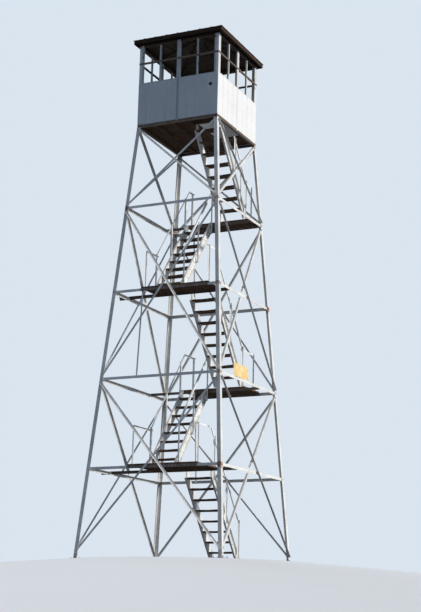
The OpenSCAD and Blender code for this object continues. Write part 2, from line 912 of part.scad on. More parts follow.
module roof_sheets() {
    z0 = roof_board_t + 2 * seat;
    cap_z = z0 + sheet_t + seat;
    meet = hip_meet(cap_z + sheet_t);
    low_v = -sheet_out;
    high_v = slope_l - hub_half / 2;
    color(WEATHERED)
        in_cab() {
            for (side = [0:3])
                on_slope(side)
                    union() {
                        translate([0, 0, z0])
                            linear_extrude(sheet_t)
                                polygon([
                                    [-slope_half(low_v) + hip_gap, low_v],
                                    [slope_half(low_v) - hip_gap, low_v],
                                    [0, slope_l - hip_gap]
                                ]);
                        intersection() {
                            union()
                                for (i = [-rib_count:rib_count])
                                    block([i * rib_step - rib_w / 2, 0, z0 + sheet_t / 2],
                                          [i * rib_step + rib_w / 2, slope_l, z0 + sheet_t + rib_h]);
                            linear_extrude(z0 + sheet_t + 2 * rib_h)
                                polygon([
                                    [-slope_half(0) + cap_w, 0],
                                    [slope_half(0) - cap_w, 0],
                                    [0, slope_l - cap_w]
                                ]);
                        }
                    }
            for (side = [0:3])
                union()
                    for (hand = [-1, 1])
                        on_slope((side + (hand < 0 ? 1 : 0)) % 4)
                            translate([0, 0, cap_z])
                                linear_extrude(sheet_t)
                                    polygon([
                                        [hand * (slope_half(low_v) + meet), low_v],
                                        [hand * (slope_half(low_v) - cap_w), low_v],
                                        [hand * (slope_half(high_v) - hip_gap), high_v - cap_w / 2],
                                        [hand * (slope_half(high_v) + meet), high_v]
                                    ]);
        }
}

leg(3);  // leg_front_left
leg(0);  // leg_front_right
leg(1);  // leg_back_right
leg(2);  // leg_back_left
foot_shoes();
girts(0);  // front_girts
girts(1);  // right_girts
girts(2);  // back_girts
girts(3);  // left_girts
braces(0);  // front_braces
braces(1);  // right_braces
braces(2);  // back_braces
braces(3);  // left_braces
union() { landing_deck(1); landing_deck(3); }  // front_landing_decks
union() { landing_deck(2); landing_deck(4); }  // back_landing_decks
for (ring = [1:BAYS - 1]) landing_beam(ring);  // landing_beams
for (ring = [2:BAYS - 1]) landing_hanger(ring);  // landing_hangers
flight_stringers(1);  // flight_1_stringers
flight_stringers(2);  // flight_2_stringers
flight_stringers(3);  // flight_3_stringers
flight_stringers(4);  // flight_4_stringers
flight_stringers(5);  // flight_5_stringers
flight_treads(1);  // flight_1_treads
flight_treads(2);  // flight_2_treads
flight_treads(3);  // flight_3_treads
flight_treads(4);  // flight_4_treads
flight_treads(5);  // flight_5_treads
stair_rails();
sign_plate();
cab_sill_frame();
cab_floor_joists();
cab_floor_boards();
cab_posts();
wall_sheets(0);  // front_wall_sheets
wall_sheets(1);  // right_wall_sheets
wall_sheets(2);  // back_wall_sheets
wall_sheets(3);  // left_wall_sheets
window_frame(0);  // front_window_frame
window_frame(1);  // right_window_frame
window_frame(2);  // back_window_frame
window_frame(3);  // left_window_frame
eave_timbers();
roof_rafters();
roof_boards();
roof_sheets();
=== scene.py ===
"""Looks of a steel fire lookout tower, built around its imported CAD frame.

All lengths are metres in the frame's own axes: the origin is on the ground in the middle of
the feet, +Z is up and -Y is the front. Sides are numbered 0 front, 1 right, 2 back, 3 left.
In names _w, _h, _d, _t and _r are a width, height, depth, thickness and radius, and _in is a
distance in from an end. A class that uses one in another way says so.
"""

import logging
import math
from dataclasses import dataclass, field
from enum import Enum
from functools import cached_property

import bpy
import numpy as np
from mathutils import Matrix, Vector


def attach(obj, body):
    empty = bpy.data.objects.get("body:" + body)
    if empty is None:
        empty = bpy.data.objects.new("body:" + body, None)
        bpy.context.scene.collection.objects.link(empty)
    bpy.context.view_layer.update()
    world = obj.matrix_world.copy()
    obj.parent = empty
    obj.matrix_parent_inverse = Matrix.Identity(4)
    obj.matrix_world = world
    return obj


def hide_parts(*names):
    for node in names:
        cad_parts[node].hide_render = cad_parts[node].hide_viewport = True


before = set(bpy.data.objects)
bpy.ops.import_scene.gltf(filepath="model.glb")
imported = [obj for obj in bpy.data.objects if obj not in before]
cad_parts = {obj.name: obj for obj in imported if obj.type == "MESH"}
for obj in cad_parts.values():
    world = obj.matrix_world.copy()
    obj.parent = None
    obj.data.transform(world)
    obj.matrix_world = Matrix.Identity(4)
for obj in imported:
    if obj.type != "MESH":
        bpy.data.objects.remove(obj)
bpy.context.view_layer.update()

log = logging.getLogger("lookout_tower")

Array = np.ndarray
Triple = tuple[float, float, float]
Material = bpy.types.Material
NodeTree = bpy.types.NodeTree

FRONT, RIGHT, BACK, LEFT = SIDES = range(4)
SIDE_NAMES = ("front", "right", "back", "left")
UP = np.array([0.0, 0.0, 1.0])
OUTWARDS = np.array([0.0, -1.0, 0.0])


@dataclass(frozen=True)
class TowerPlan:
    """Driving sizes that the looks share with the CAD frame."""

    base_half: float = 1.85
    cab_half: float = 1.067
    bay: float = 2.08
    bays: int = 5
    seat: float = 0.0003
    leg_w: float = 0.09
    leg_t: float = 0.008
    girt_w: float = 0.065
    girt_t: float = 0.006
    brace_w: float = 0.05
    brace_t: float = 0.005
    brace_gap: float = 0.045
    bolt_inset: float = 0.0405
    bolt_step: float = 0.032
    foot_t: float = 0.016
    lug_h: float = 0.15
    deck_rise: float = 0.0446
    risers: int = 9
    stair_y: float = 0.78
    tread_w: float = 0.61
    tread_t: float = 0.04
    stringer_t: float = 0.006
    stair_front_x: float = 0.645
    stair_back_x: float = -0.26
    sill_h: float = 1.03
    roof_half: float = 1.177
    eave_h: float = 2.11358
    roof_slope: float = 0.37

    @property
    def tower_h(self) -> float:
        """Height of the steel frame, where the cab stands."""
        return self.bay * self.bays

    @property
    def batter(self) -> float:
        """Inward lean of a side for each metre of height."""
        return (self.base_half - self.cab_half) / self.tower_h

    @property
    def stretch(self) -> float:
        """Length up a leaning side for each metre of height."""
        return math.hypot(1.0, self.batter)

    @property
    def rise(self) -> float:
        """Height of one riser."""
        return self.bay / self.risers

    @property
    def going(self) -> float:
        """Run of one tread."""
        return 2 * self.stair_y / self.risers

    @property
    def stair_slope(self) -> float:
        """Climb of a flight for each metre of its run."""
        return self.bay / (2 * self.stair_y)

    def half_at(self, z: float | Array) -> float | Array:
        """Half width of the frame at height z."""
        return self.base_half - self.batter * z

    def face_half(self, w: float) -> float:
        """Half width of a side in its own plane, at distance w up that plane."""
        return self.base_half - self.batter / self.stretch * w


PLAN = TowerPlan()


# Placing


@dataclass(frozen=True)
class Placement:
    """A turn and a shift that take local points into the frame."""

    turn: Array
    shift: Array

    def points(self, local: Array) -> Array:
        """Local points (..., 3) in the frame."""
        return local @ self.turn.T + self.shift

    def directions(self, local: Array) -> Array:
        """Local directions (..., 3) in the frame."""
        return local @ self.turn.T


def turn_z(angle: float) -> Array:
    """Matrix of a turn about +Z by an angle in radians."""
    c, s = math.cos(angle), math.sin(angle)
    return np.array([[c, -s, 0.0], [s, c, 0.0], [0.0, 0.0, 1.0]])


def turn_x(angle: float) -> Array:
    """Matrix of a turn about +X by an angle in radians."""
    c, s = math.cos(angle), math.sin(angle)
    return np.array([[1.0, 0.0, 0.0], [0.0, c, -s], [0.0, s, c]])


def on_side(side: int, reach: float, height: float, lean: float) -> Placement:
    """A plane on one side of the tower.

    Args:
        side: number of the side.
        reach: distance of its foot from the middle of the tower.
        height: height of its foot.
        lean: turn about its own X, in radians.

    Returns:
        The placement, with X along the side.
    """
    spin = turn_z(side * math.pi / 2)
    return Placement(spin @ turn_x(lean), spin @ (reach * OUTWARDS) + height * UP)


def leaning_side(side: int) -> Placement:
    """A side of the frame: X along it, Y inwards from the legs' outer face, Z up the lean."""
    return on_side(side, PLAN.base_half, 0.0, -math.atan(PLAN.batter))


def cab_side(side: int) -> Placement:
    """A side of the cab: X along it, Y inwards from the posts' outer face, Z from the floor."""
    return on_side(side, PLAN.cab_half, PLAN.tower_h, 0.0)


def roof_side(side: int) -> Placement:
    """A roof slope: X along the eave, Y up the slope from the eave, Z outwards."""
    eave = PLAN.tower_h + PLAN.eave_h
    return on_side(side, PLAN.roof_half, eave, math.atan(PLAN.roof_slope))


def flight_place(number: int) -> Placement:
    """A stair flight's own frame: it climbs along +Y, with Z from the landing at its foot.

    Args:
        number: number of the flight, from 1. The odd ones climb towards the front.

    Returns:
        The placement.
    """
    to_front = number % 2 == 1
    x = PLAN.stair_front_x if to_front else PLAN.stair_back_x
    z = (number - 1) * PLAN.bay + PLAN.deck_rise
    return Placement(turn_z(math.pi if to_front else 0.0), np.array([x, 0.0, z]))


# Surfaces


@dataclass
class Surface:
    """Points with faces of any number of corners, and values held at each point.

    Attributes:
        points: array (n, 3).
        faces: arrays (k, m) of point numbers, each with its own corner count m.
        marks: named arrays, (n,) or (n, 3), that a finish reads as attributes.
    """

    points: Array
    faces: list[Array]
    marks: dict[str, Array] = field(default_factory=dict)

    def moved(self, place: Placement) -> "Surface":
        """The surface carried into the frame."""
        return Surface(place.points(self.points), self.faces, self.marks)


def stacked(*parts: Array | float) -> Array:
    """Arrays and numbers spread to one shape and stacked along a new last axis."""
    return np.stack(np.broadcast_arrays(*parts), axis=-1)


def spread(*lists: Array | list[float]) -> Array:
    """Every combination of the given values, one row each."""
    return stacked(*np.meshgrid(*lists, indexing="ij")).reshape(-1, len(lists))


def joined(parts: list[Surface]) -> Surface:
    """One surface of several that don't touch.

    Args:
        parts: the surfaces, all with the same marks.

    Returns:
        The surface.
    """
    starts = np.cumsum([0] + [len(p.points) for p in parts])
    faces = [f + s for p, s in zip(parts, starts) for f in p.faces]
    marks = {key: np.concatenate([p.marks[key] for p in parts]) for key in parts[0].marks}
    return Surface(np.concatenate([p.points for p in parts]), faces, marks)


def repeated(faces: list[Array], copies: int, points: int) -> list[Array]:
    """Faces of so many copies of a pattern, whose points follow one another."""
    offsets = np.arange(copies)[:, None, None] * points
    return [(block[None] + offsets).reshape(-1, block.shape[1]) for block in faces]


def tube_faces(rows: int, columns: int) -> list[Array]:
    """Faces of a closed tube with both ends capped.

    The points are rows of a closed outline that turns from the second to the third axis
    while the rows follow the first one, so that the faces point outwards.

    Args:
        rows: number of outlines along the tube.
        columns: points in each outline.

    Returns:
        The wall's quads and the two end caps.
    """
    i = np.arange(rows - 1)[:, None] * columns
    j = np.arange(columns)
    k = (j + 1) % columns
    wall = stacked(i + j, i + k, i + columns + k, i + columns + j).reshape(-1, 4)
    return [wall, j[None, ::-1], j[None, :] + (rows - 1) * columns]


def revolved(profile: Array, sides: int) -> Surface:
    """A profile (radius, height) turned about +Z and closed by a flat cap at each end.

    Point (i, j) is (r_i cos a_j, r_i sin a_j, h_i), with a_j = 2 pi j / sides.

    Args:
        profile: array (rows, 2).
        sides: points round the axis.

    Returns:
        The closed surface.
    """
    angle = np.arange(sides) * 2 * math.pi / sides
    radius, height = profile[:, :1], profile[:, 1:]
    points = stacked(radius * np.cos(angle), radius * np.sin(angle), height)
    return Surface(points.reshape(-1, 3), tube_faces(len(profile), sides))


def scattered(pattern: Surface, origins: Array, axes: Array) -> Surface:
    """Copies of a small surface, each with its +Z along an axis.

    Each copy's frame is (side, cross, axis), where side is the cross product of the axis
    with whichever of Z and X it is further from. All copies are worked out as one array.

    Args:
        pattern: the surface to repeat, about the origin.
        origins: array (n, 3) of places.
        axes: array (n, 3) of directions, or (3,) for all.

    Returns:
        All the copies as one surface.
    """
    axes = np.broadcast_to(axes, origins.shape)
    axes = axes / np.linalg.norm(axes, axis=1, keepdims=True)
    helper = np.where(np.abs(axes[:, 2:]) < 0.9, UP, [1.0, 0.0, 0.0])
    side = np.cross(helper, axes)
    side /= np.linalg.norm(side, axis=1, keepdims=True)
    frames = np.stack([side, np.cross(axes, side), axes], axis=1)
    points = pattern.points[None] @ frames + origins[:, None]
    faces = repeated(pattern.faces, len(origins), len(pattern.points))
    return Surface(points.reshape(-1, 3), faces)


def rounded_outline(width: float, height: float, radius: float, arc: int, fill: int) -> Array:
    """Counter-clockwise outline of a rectangle with round corners, centred on the origin.

    Corner c is an arc of the given radius about (+-(width/2 - radius), +-(height/2 - radius)),
    and each straight stretch between two arcs is divided evenly.

    Args:
        width: size along the first axis.
        height: size along the second axis.
        radius: corner radius.
        arc: points in each corner.
        fill: points inside each straight stretch.

    Returns:
        Array (4 * (arc + fill), 2).
    """
    signs = np.array([[1, 1], [-1, 1], [-1, -1], [1, -1]])
    centres = signs * [width / 2 - radius, height / 2 - radius]
    angle = np.linspace(0, math.pi / 2, arc) + np.arange(4)[:, None] * math.pi / 2
    arcs = centres[:, None] + radius * stacked(np.cos(angle), np.sin(angle))
    share = np.linspace(0, 1, fill + 2)[1:-1][None, :, None]
    straight = arcs[:, -1:] * (1 - share) + np.roll(arcs[:, :1], -1, axis=0) * share
    return np.concatenate([arcs, straight], axis=1).reshape(-1, 2)


def shell(outer: Array, inner: Array, fold: Array | None = None) -> Surface:
    """A thin closed sheet between two grids of points.

    Args:
        outer: array (rows, columns, 3), whose row direction crossed with its column
            direction points outwards.
        inner: the matching grid of the other face.
        fold: array (rows, columns), how far each point lies in a fold, from 0 to 1.

    Returns:
        The sheet, with the mark fold if it is given.
    """
    rows, columns = outer.shape[:2]
    i = np.arange(rows - 1)[:, None] * columns
    j = np.arange(columns - 1)
    top = stacked(i + j, i + columns + j, i + columns + j + 1, i + j + 1).reshape(-1, 4)
    count = rows * columns
    rim = np.concatenate([
        np.arange(columns - 1),
        np.arange(rows - 1) * columns + columns - 1,
        np.arange(columns - 1, 0, -1) + (rows - 1) * columns,
        np.arange(rows - 1, 0, -1) * columns,
    ])
    ahead = np.roll(rim, -1)
    edge = stacked(rim, ahead, ahead + count, rim + count)
    points = np.concatenate([outer.reshape(-1, 3), inner.reshape(-1, 3)])
    marks = {} if fold is None else {"fold": np.tile(fold.ravel(), 2)}
    return Surface(points, [top, top[:, ::-1] + count, edge[:, ::-1]], marks)


@dataclass(frozen=True)
class SawnBoards:
    """Sawn boards with rounded arrises, each slightly warped and worn.

    Attributes:
        along: 0 for boards along X, 1 for boards along Y.
        seed: seed of the small differences between the boards.
        worn: depth of the wear in the middle of the top.
        foot: half width of the worn place, as a share of the length.
        arris: radius of the edges, as a share of the thickness.
        trim: length of the rounded ends, as a share of the length.
        rows: number of outlines between the rounded ends.
        twist: usual twist from end to end.
        cup: usual hollow across.
        sag: usual sag in the middle.
        apart: how far apart two boards may lie in the pattern of the grain.
    """

    along: int
    seed: int
    worn: float
    foot: float = 0.2
    arris: float = 0.12
    trim: float = 0.004
    rows: int = 13
    twist: float = 0.0012
    cup: float = 0.0006
    sag: float = 0.0008
    apart: float = 40.0

    def sections(self, width: float, thick: float) -> tuple[Array, Array]:
        """Outlines along a board, drawn in by the arris at both ends.

        Args:
            width: width of the board.
            thick: its thickness.

        Returns:
            The shares of the length u at which they lie, and array (rows, points, 2).
        """
        arris = self.arris * thick
        outline = rounded_outline(width, thick, arris, 3, 5)
        inset = outline * [1 - 2 * arris / width, 1 - 2 * arris / thick]
        u = np.concatenate([[0.0], np.linspace(self.trim, 1 - self.trim, self.rows), [1.0]])
        ends = (u == 0.0) | (u == 1.0)
        return u, np.where(ends[:, None, None], inset[None], outline[None])

    def surface(self, lows: Array, highs: Array) -> Surface:
        """The boards as one surface.

        A board is its cross section carried along its length. With u from 0 to 1 along it and
        s from -1 to 1 across it, its height gains
        twist * s * (u - 1/2) + cup * (s^2 - 1/3) - sag * 4u(1 - u), and its top loses
        worn * exp(-((u - 1/2) / foot)^2), as feet wear a step.

        Args:
            lows: array (n, 3) of the boards' low corners.
            highs: array (n, 3) of their high corners, all of one width and thickness.

        Returns:
            The surface, with the marks board_grain, whose X runs along each board, and
            board_edge, which is |s|.
        """
        rng = np.random.default_rng(self.seed)
        count = len(lows)
        centre, size = (lows + highs) / 2, highs - lows
        length = size[:, self.along, None, None]
        width, thick = float(size[0, 1 - self.along]), float(size[0, 2])
        u, section = self.sections(width, thick)
        s, h = section[None, ..., 0] * 2 / width, section[None, ..., 1]
        v = u[None, :, None]
        twist, cup, sag = (
            rng.normal(0, usual, (count, 1, 1)) for usual in (self.twist, self.cup, self.sag)
        )
        lift = twist * s * (v - 0.5) + cup * (s**2 - 1 / 3) - np.abs(sag) * 4 * v * (1 - v)
        foot_wear = self.worn * np.exp(-(((v - 0.5) / self.foot) ** 2)) * (h > 0.3 * thick)
        local = stacked((v - 0.5) * length, section[None, ..., 0], h + lift - foot_wear)
        turn = np.eye(3) if self.along == 0 else turn_z(math.pi / 2).round()
        points = local @ turn.T + centre[:, None, None]
        grain = local + rng.uniform(-self.apart, self.apart, (count, 1, 1, 3))
        edge = np.broadcast_to(np.abs(s), grain.shape[:-1])
        faces = repeated(tube_faces(*section.shape[:2]), count, s.size)
        marks = {"board_grain": grain.reshape(-1, 3), "board_edge": edge.ravel()}
        return Surface(points.reshape(-1, 3), faces, marks)


# Pieces


def node_corners(node: str) -> Array:
    """Corners of a CAD node's mesh.

    Args:
        node: name of the node.

    Returns:
        Array (n, 3).
    """
    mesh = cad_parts[node].data
    corners = np.zeros(len(mesh.vertices) * 3)
    mesh.vertices.foreach_get("co", corners)
    return corners.reshape(-1, 3)


def board_boxes(node: str) -> tuple[Array, Array]:
    """Low and high corners of a node's level boards along X.

    The node's distinct Y values, sorted, are the near and far edges of its rows in turn, and
    a row's distinct X values are the two ends of its boards in turn.

    Args:
        node: the CAD node.

    Returns:
        Two arrays (boards, 3).
    """
    corners = node_corners(node)
    floor, top = corners[:, 2].min(), corners[:, 2].max()
    boxes = []
    for near, far in np.unique(np.round(corners[:, 1], 5)).reshape(-1, 2):
        row = corners[np.abs(corners[:, 1] - near) < 0.0001]
        for start, end in np.unique(np.round(row[:, 0], 5)).reshape(-1, 2):
            boxes.append(([start, near, floor], [end, far, top]))
    lows, highs = zip(*boxes)
    return np.array(lows), np.array(highs)


class Slot(Enum):
    """Material slots of the record that new pieces take."""

    ANGLE = "galvanised_angle"
    FOOT = "foot_steel"
    TREAD = "tread_timber"
    SIGN = "sign_paint"
    WALL = "wall_sheet"
    WINDOW = "window_timber"
    ROOF = "roof_sheet"


class Shading(Enum):
    """How a piece's faces are shaded: a smooth one keeps edges sharper than 35 degrees."""

    FLAT = None
    SMOOTH = math.radians(35)


def placed(
    name: str, mesh: bpy.types.Mesh, coat: "Coat", replaced: str | None
) -> bpy.types.Object:
    """Makes a mesh a piece that rides on the tower.

    Args:
        name: the piece's name.
        mesh: its mesh.
        coat: its finish.
        replaced: the CAD node that it stands for, if it stands for one.

    Returns:
        The piece.
    """
    mesh.materials.append(coat.material)
    piece = bpy.data.objects.new(name, mesh)
    bpy.context.scene.collection.objects.link(piece)
    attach(piece, "root")
    if replaced:
        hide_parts(replaced)
    log.info("%s: %d faces in %s", name, len(mesh.polygons), coat.value.name)
    return piece


def make_piece(
    name: str,
    surface: Surface,
    coat: "Coat",
    replaced: str | None = None,
    shading: Shading = Shading.FLAT,
) -> None:
    """Turns a surface into a piece.

    Args:
        name: the piece's name.
        surface: its points and faces, in the frame.
        coat: its finish.
        replaced: the CAD node that it stands for, if it stands for one.
        shading: flat or smooth faces.
    """
    mesh = bpy.data.meshes.new(name)
    faces = [row for block in surface.faces for row in block.tolist()]
    mesh.from_pydata(surface.points.tolist(), [], faces)
    for key, values in surface.marks.items():
        kind, target = ("FLOAT", "value") if values.ndim == 1 else ("FLOAT_VECTOR", "vector")
        held = mesh.attributes.new(key, kind, "POINT")
        held.data.foreach_set(target, values.astype(np.float32).ravel())
    if shading is Shading.SMOOTH:
        mesh.shade_smooth()
        mesh.set_sharp_from_angle(angle=shading.value)
    placed(name, mesh, coat, replaced)


def softened(node: str, name: str, coat: "Coat", arris: float) -> None:
    """A copy of a CAD node with its points merged and its edges slightly rounded.

    Args:
        node: the CAD node that the copy stands for.
        name: the new piece's name.
        coat: its finish.
        arris: width of the rounded edges.
    """
    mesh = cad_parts[node].data.copy()
    mesh.name = name
    mesh.materials.clear()
    piece = placed(name, mesh, coat, node)
    weld = piece.modifiers.new("weld", "WELD")
    weld.merge_threshold = 0.00001
    flat = piece.modifiers.new("flat", "DECIMATE")
    flat.decimate_type = "DISSOLVE"
    flat.angle_limit = math.radians(0.5)
    bevel = piece.modifiers.new("arris", "BEVEL")
    bevel.width = arris
    bevel.segments = 2
    bevel.limit_method = "ANGLE"
    bevel.angle_limit = math.radians(30)


def dress(coat: "Coat", *nodes: str) -> None:
    """Gives CAD nodes their finish.

    Args:
        coat: the finish.
        *nodes: names of the nodes.
    """
    for node in nodes:
        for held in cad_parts[node].material_slots:
            held.material = coat.material
    log.info("%s on %d nodes", coat.value.name, len(nodes))


class Fastener(Enum):
    """Profiles (radius, height) of the fasteners, with their number of sides."""

    HEX_BOLT = (
        ((0.015, 0.0), (0.015, 0.0025), (0.0115, 0.0026), (0.0115, 0.009), (0.0095, 0.0105)), 6,
    )
    NUT_AND_END = (((0.0125, 0.0), (0.0125, 0.009), (0.0062, 0.0102), (0.0062, 0.019)), 6)
    CARRIAGE_HEAD = (((0.0135, 0.0), (0.0128, 0.0022), (0.0092, 0.0046), (0.0035, 0.0058)), 10)
    SHEET_SCREW = (((0.009, 0.0), (0.009, 0.0012), (0.0052, 0.0016), (0.0046, 0.005)), 8)
    ANCHOR = (
        ((0.026, 0.0), (0.026, 0.003), (0.0165, 0.0032), (0.0165, 0.0162), (0.008, 0.0165),
         (0.008, 0.042)), 8,
    )

    def at(self, origins: Array, axes: Array) -> Surface:
        """Fasteners of the kind at places (n, 3), standing along directions (n, 3) or (3,)."""
        profile, sides = self.value
        return scattered(revolved(np.array(profile), sides), origins, axes)


# Shader building


@dataclass(frozen=True)
class Value:
    """An output in a node tree. Its arithmetic adds Math nodes to the tree."""

    wiring: "Wiring"
    socket: bpy.types.NodeSocket

    def __add__(self, other: "Value | float") -> "Value":
        """The sum."""
        return self.wiring.maths("ADD", self, other)

    def __sub__(self, other: "Value | float") -> "Value":
        """The difference."""
        return self.wiring.maths("SUBTRACT", self, other)

    def __rsub__(self, other: float) -> "Value":
        """A number less the value."""
        return self.wiring.maths("SUBTRACT", other, self)

    def __mul__(self, other: "Value | float") -> "Value":
        """The product."""
        return self.wiring.maths("MULTIPLY", self, other)

    def __truediv__(self, other: "Value | float") -> "Value":
        """The quotient."""
        return self.wiring.maths("DIVIDE", self, other)

    def __abs__(self) -> "Value":
        """The value without its sign."""
        return self.wiring.maths("ABSOLUTE", self)

    def fraction(self) -> "Value":
        """What is left above the next lower whole number."""
        return self.wiring.maths("FRACT", self)

    def most(self, other: "Value") -> "Value":
        """The greater of two values."""
        return self.wiring.maths("MAXIMUM", self, other)

    def least(self, other: "Value") -> "Value":
        """The smaller of two values."""
        return self.wiring.maths("MINIMUM", self, other)

    def above(self, limit: "Value | float") -> "Value":
        """1 where the value is greater than a limit, and 0 elsewhere."""
        return self.wiring.maths("GREATER_THAN", self, limit)

    def below(self, limit: float) -> "Value":
        """1 where the value is less than a limit, and 0 elsewhere."""
        return self.wiring.maths("LESS_THAN", self, limit)

    def eased(
        self, low: "Value | float", high: "Value | float", first: float = 0.0, last: float = 1.0
    ) -> "Value":
        """The value taken smoothly from first at one limit to last at the other."""
        given = dict(enumerate((self, low, high, first, last)))
        return self.wiring.made("ShaderNodeMapRange", given, interpolation_type="SMOOTHSTEP")

    def scaled(self, scale: Triple, turn: Triple = (0.0, 0.0, 0.0)) -> "Value":
        """The vector turned and scaled."""
        given = {"Vector": self, "Rotation": turn, "Scale": scale}
        return self.wiring.made("ShaderNodeMapping", given)

    def noise(self, scale: "Value | float", detail: float = 4.0, rough: float = 0.55) -> "Value":
        """Noise at the place that the vector gives."""
        given = {"Vector": self, "Scale": scale, "Detail": detail, "Roughness": rough}
        return self.wiring.made("ShaderNodeTexNoise", given)

    def parts(self) -> "tuple[Value, ...]":
        """The three parts of the vector."""
        first = self.wiring.made("ShaderNodeSeparateXYZ", {0: self})
        return tuple(self.wiring.outputs(first.socket.node).values())

    def outermost(self) -> "Value":
        """The greater of |x| and |y| of the vector: a distance from the tower's axis."""
        x, y, _ = self.parts()
        return abs(x).most(abs(y))


Given = Value | float | Triple


@dataclass(frozen=True)
class Wiring:
    """Adds and joins the nodes of one node tree."""

    tree: NodeTree

    def add(self, kind: str, **settings: object) -> bpy.types.Node:
        """Adds a node.

        Args:
            kind: its type.
            **settings: its settings by name.

        Returns:
            The node.
        """
        node = self.tree.nodes.new(kind)
        for key, value in settings.items():
            setattr(node, key, value)
        return node

    def feed(self, target: bpy.types.NodeSocket, given: Given) -> None:
        """Joins a value to an input, or sets the input to a plain number, vector or colour.

        Args:
            target: the input.
            given: what it gets.
        """
        if isinstance(given, Value):
            self.tree.links.new(given.socket, target)
        else:
            target.default_value = (*given, 1.0) if target.type == "RGBA" else given

    def made(
        self, kind: str, given: dict[int | str, Given], output: int | str = 0, **settings: object
    ) -> Value:
        """Adds a node and feeds it.

        Args:
            kind: its type.
            given: what its inputs get, by number or name.
            output: the output to take, by number or name.
            **settings: its settings by name.

        Returns:
            That output.
        """
        node = self.add(kind, **settings)
        for key, value in given.items():
            self.feed(node.inputs[key], value)
        return Value(self, node.outputs[output])

    def outputs(self, node: bpy.types.Node) -> dict[str, Value]:
        """A node's outputs by name."""
        return {socket.name: Value(self, socket) for socket in node.outputs}

    def maths(self, operation: str, *given: Value | float) -> Value:
        """Result of a Math node."""
        return self.made("ShaderNodeMath", dict(enumerate(given)), operation=operation)

    def blend(self, share: Value | float, first: Given, second: Given) -> Value:
        """Two colours mixed by a share."""
        given = {0: share, 6: first, 7: second}
        return self.made("ShaderNodeMix", given, 2, data_type="RGBA")

    def coordinates(self, kind: str = "Object") -> Value:
        """Coordinates of a kind."""
        return self.made("ShaderNodeTexCoord", {}, kind)

    def attribute(self, name: str, output: str = "Fac") -> Value:
        """An attribute of the mesh."""
        return self.made("ShaderNodeAttribute", {}, output, attribute_name=name)

    def use(self, group: NodeTree, **given: Value | float) -> dict[str, Value]:
        """Places a shared group.

        Args:
            group: the group.
            **given: its inputs by name.

        Returns:
            Its outputs by name.
        """
        node = self.add("ShaderNodeGroup", node_tree=group)
        for key, value in given.items():
            self.feed(node.inputs[key], value)
        return self.outputs(node)


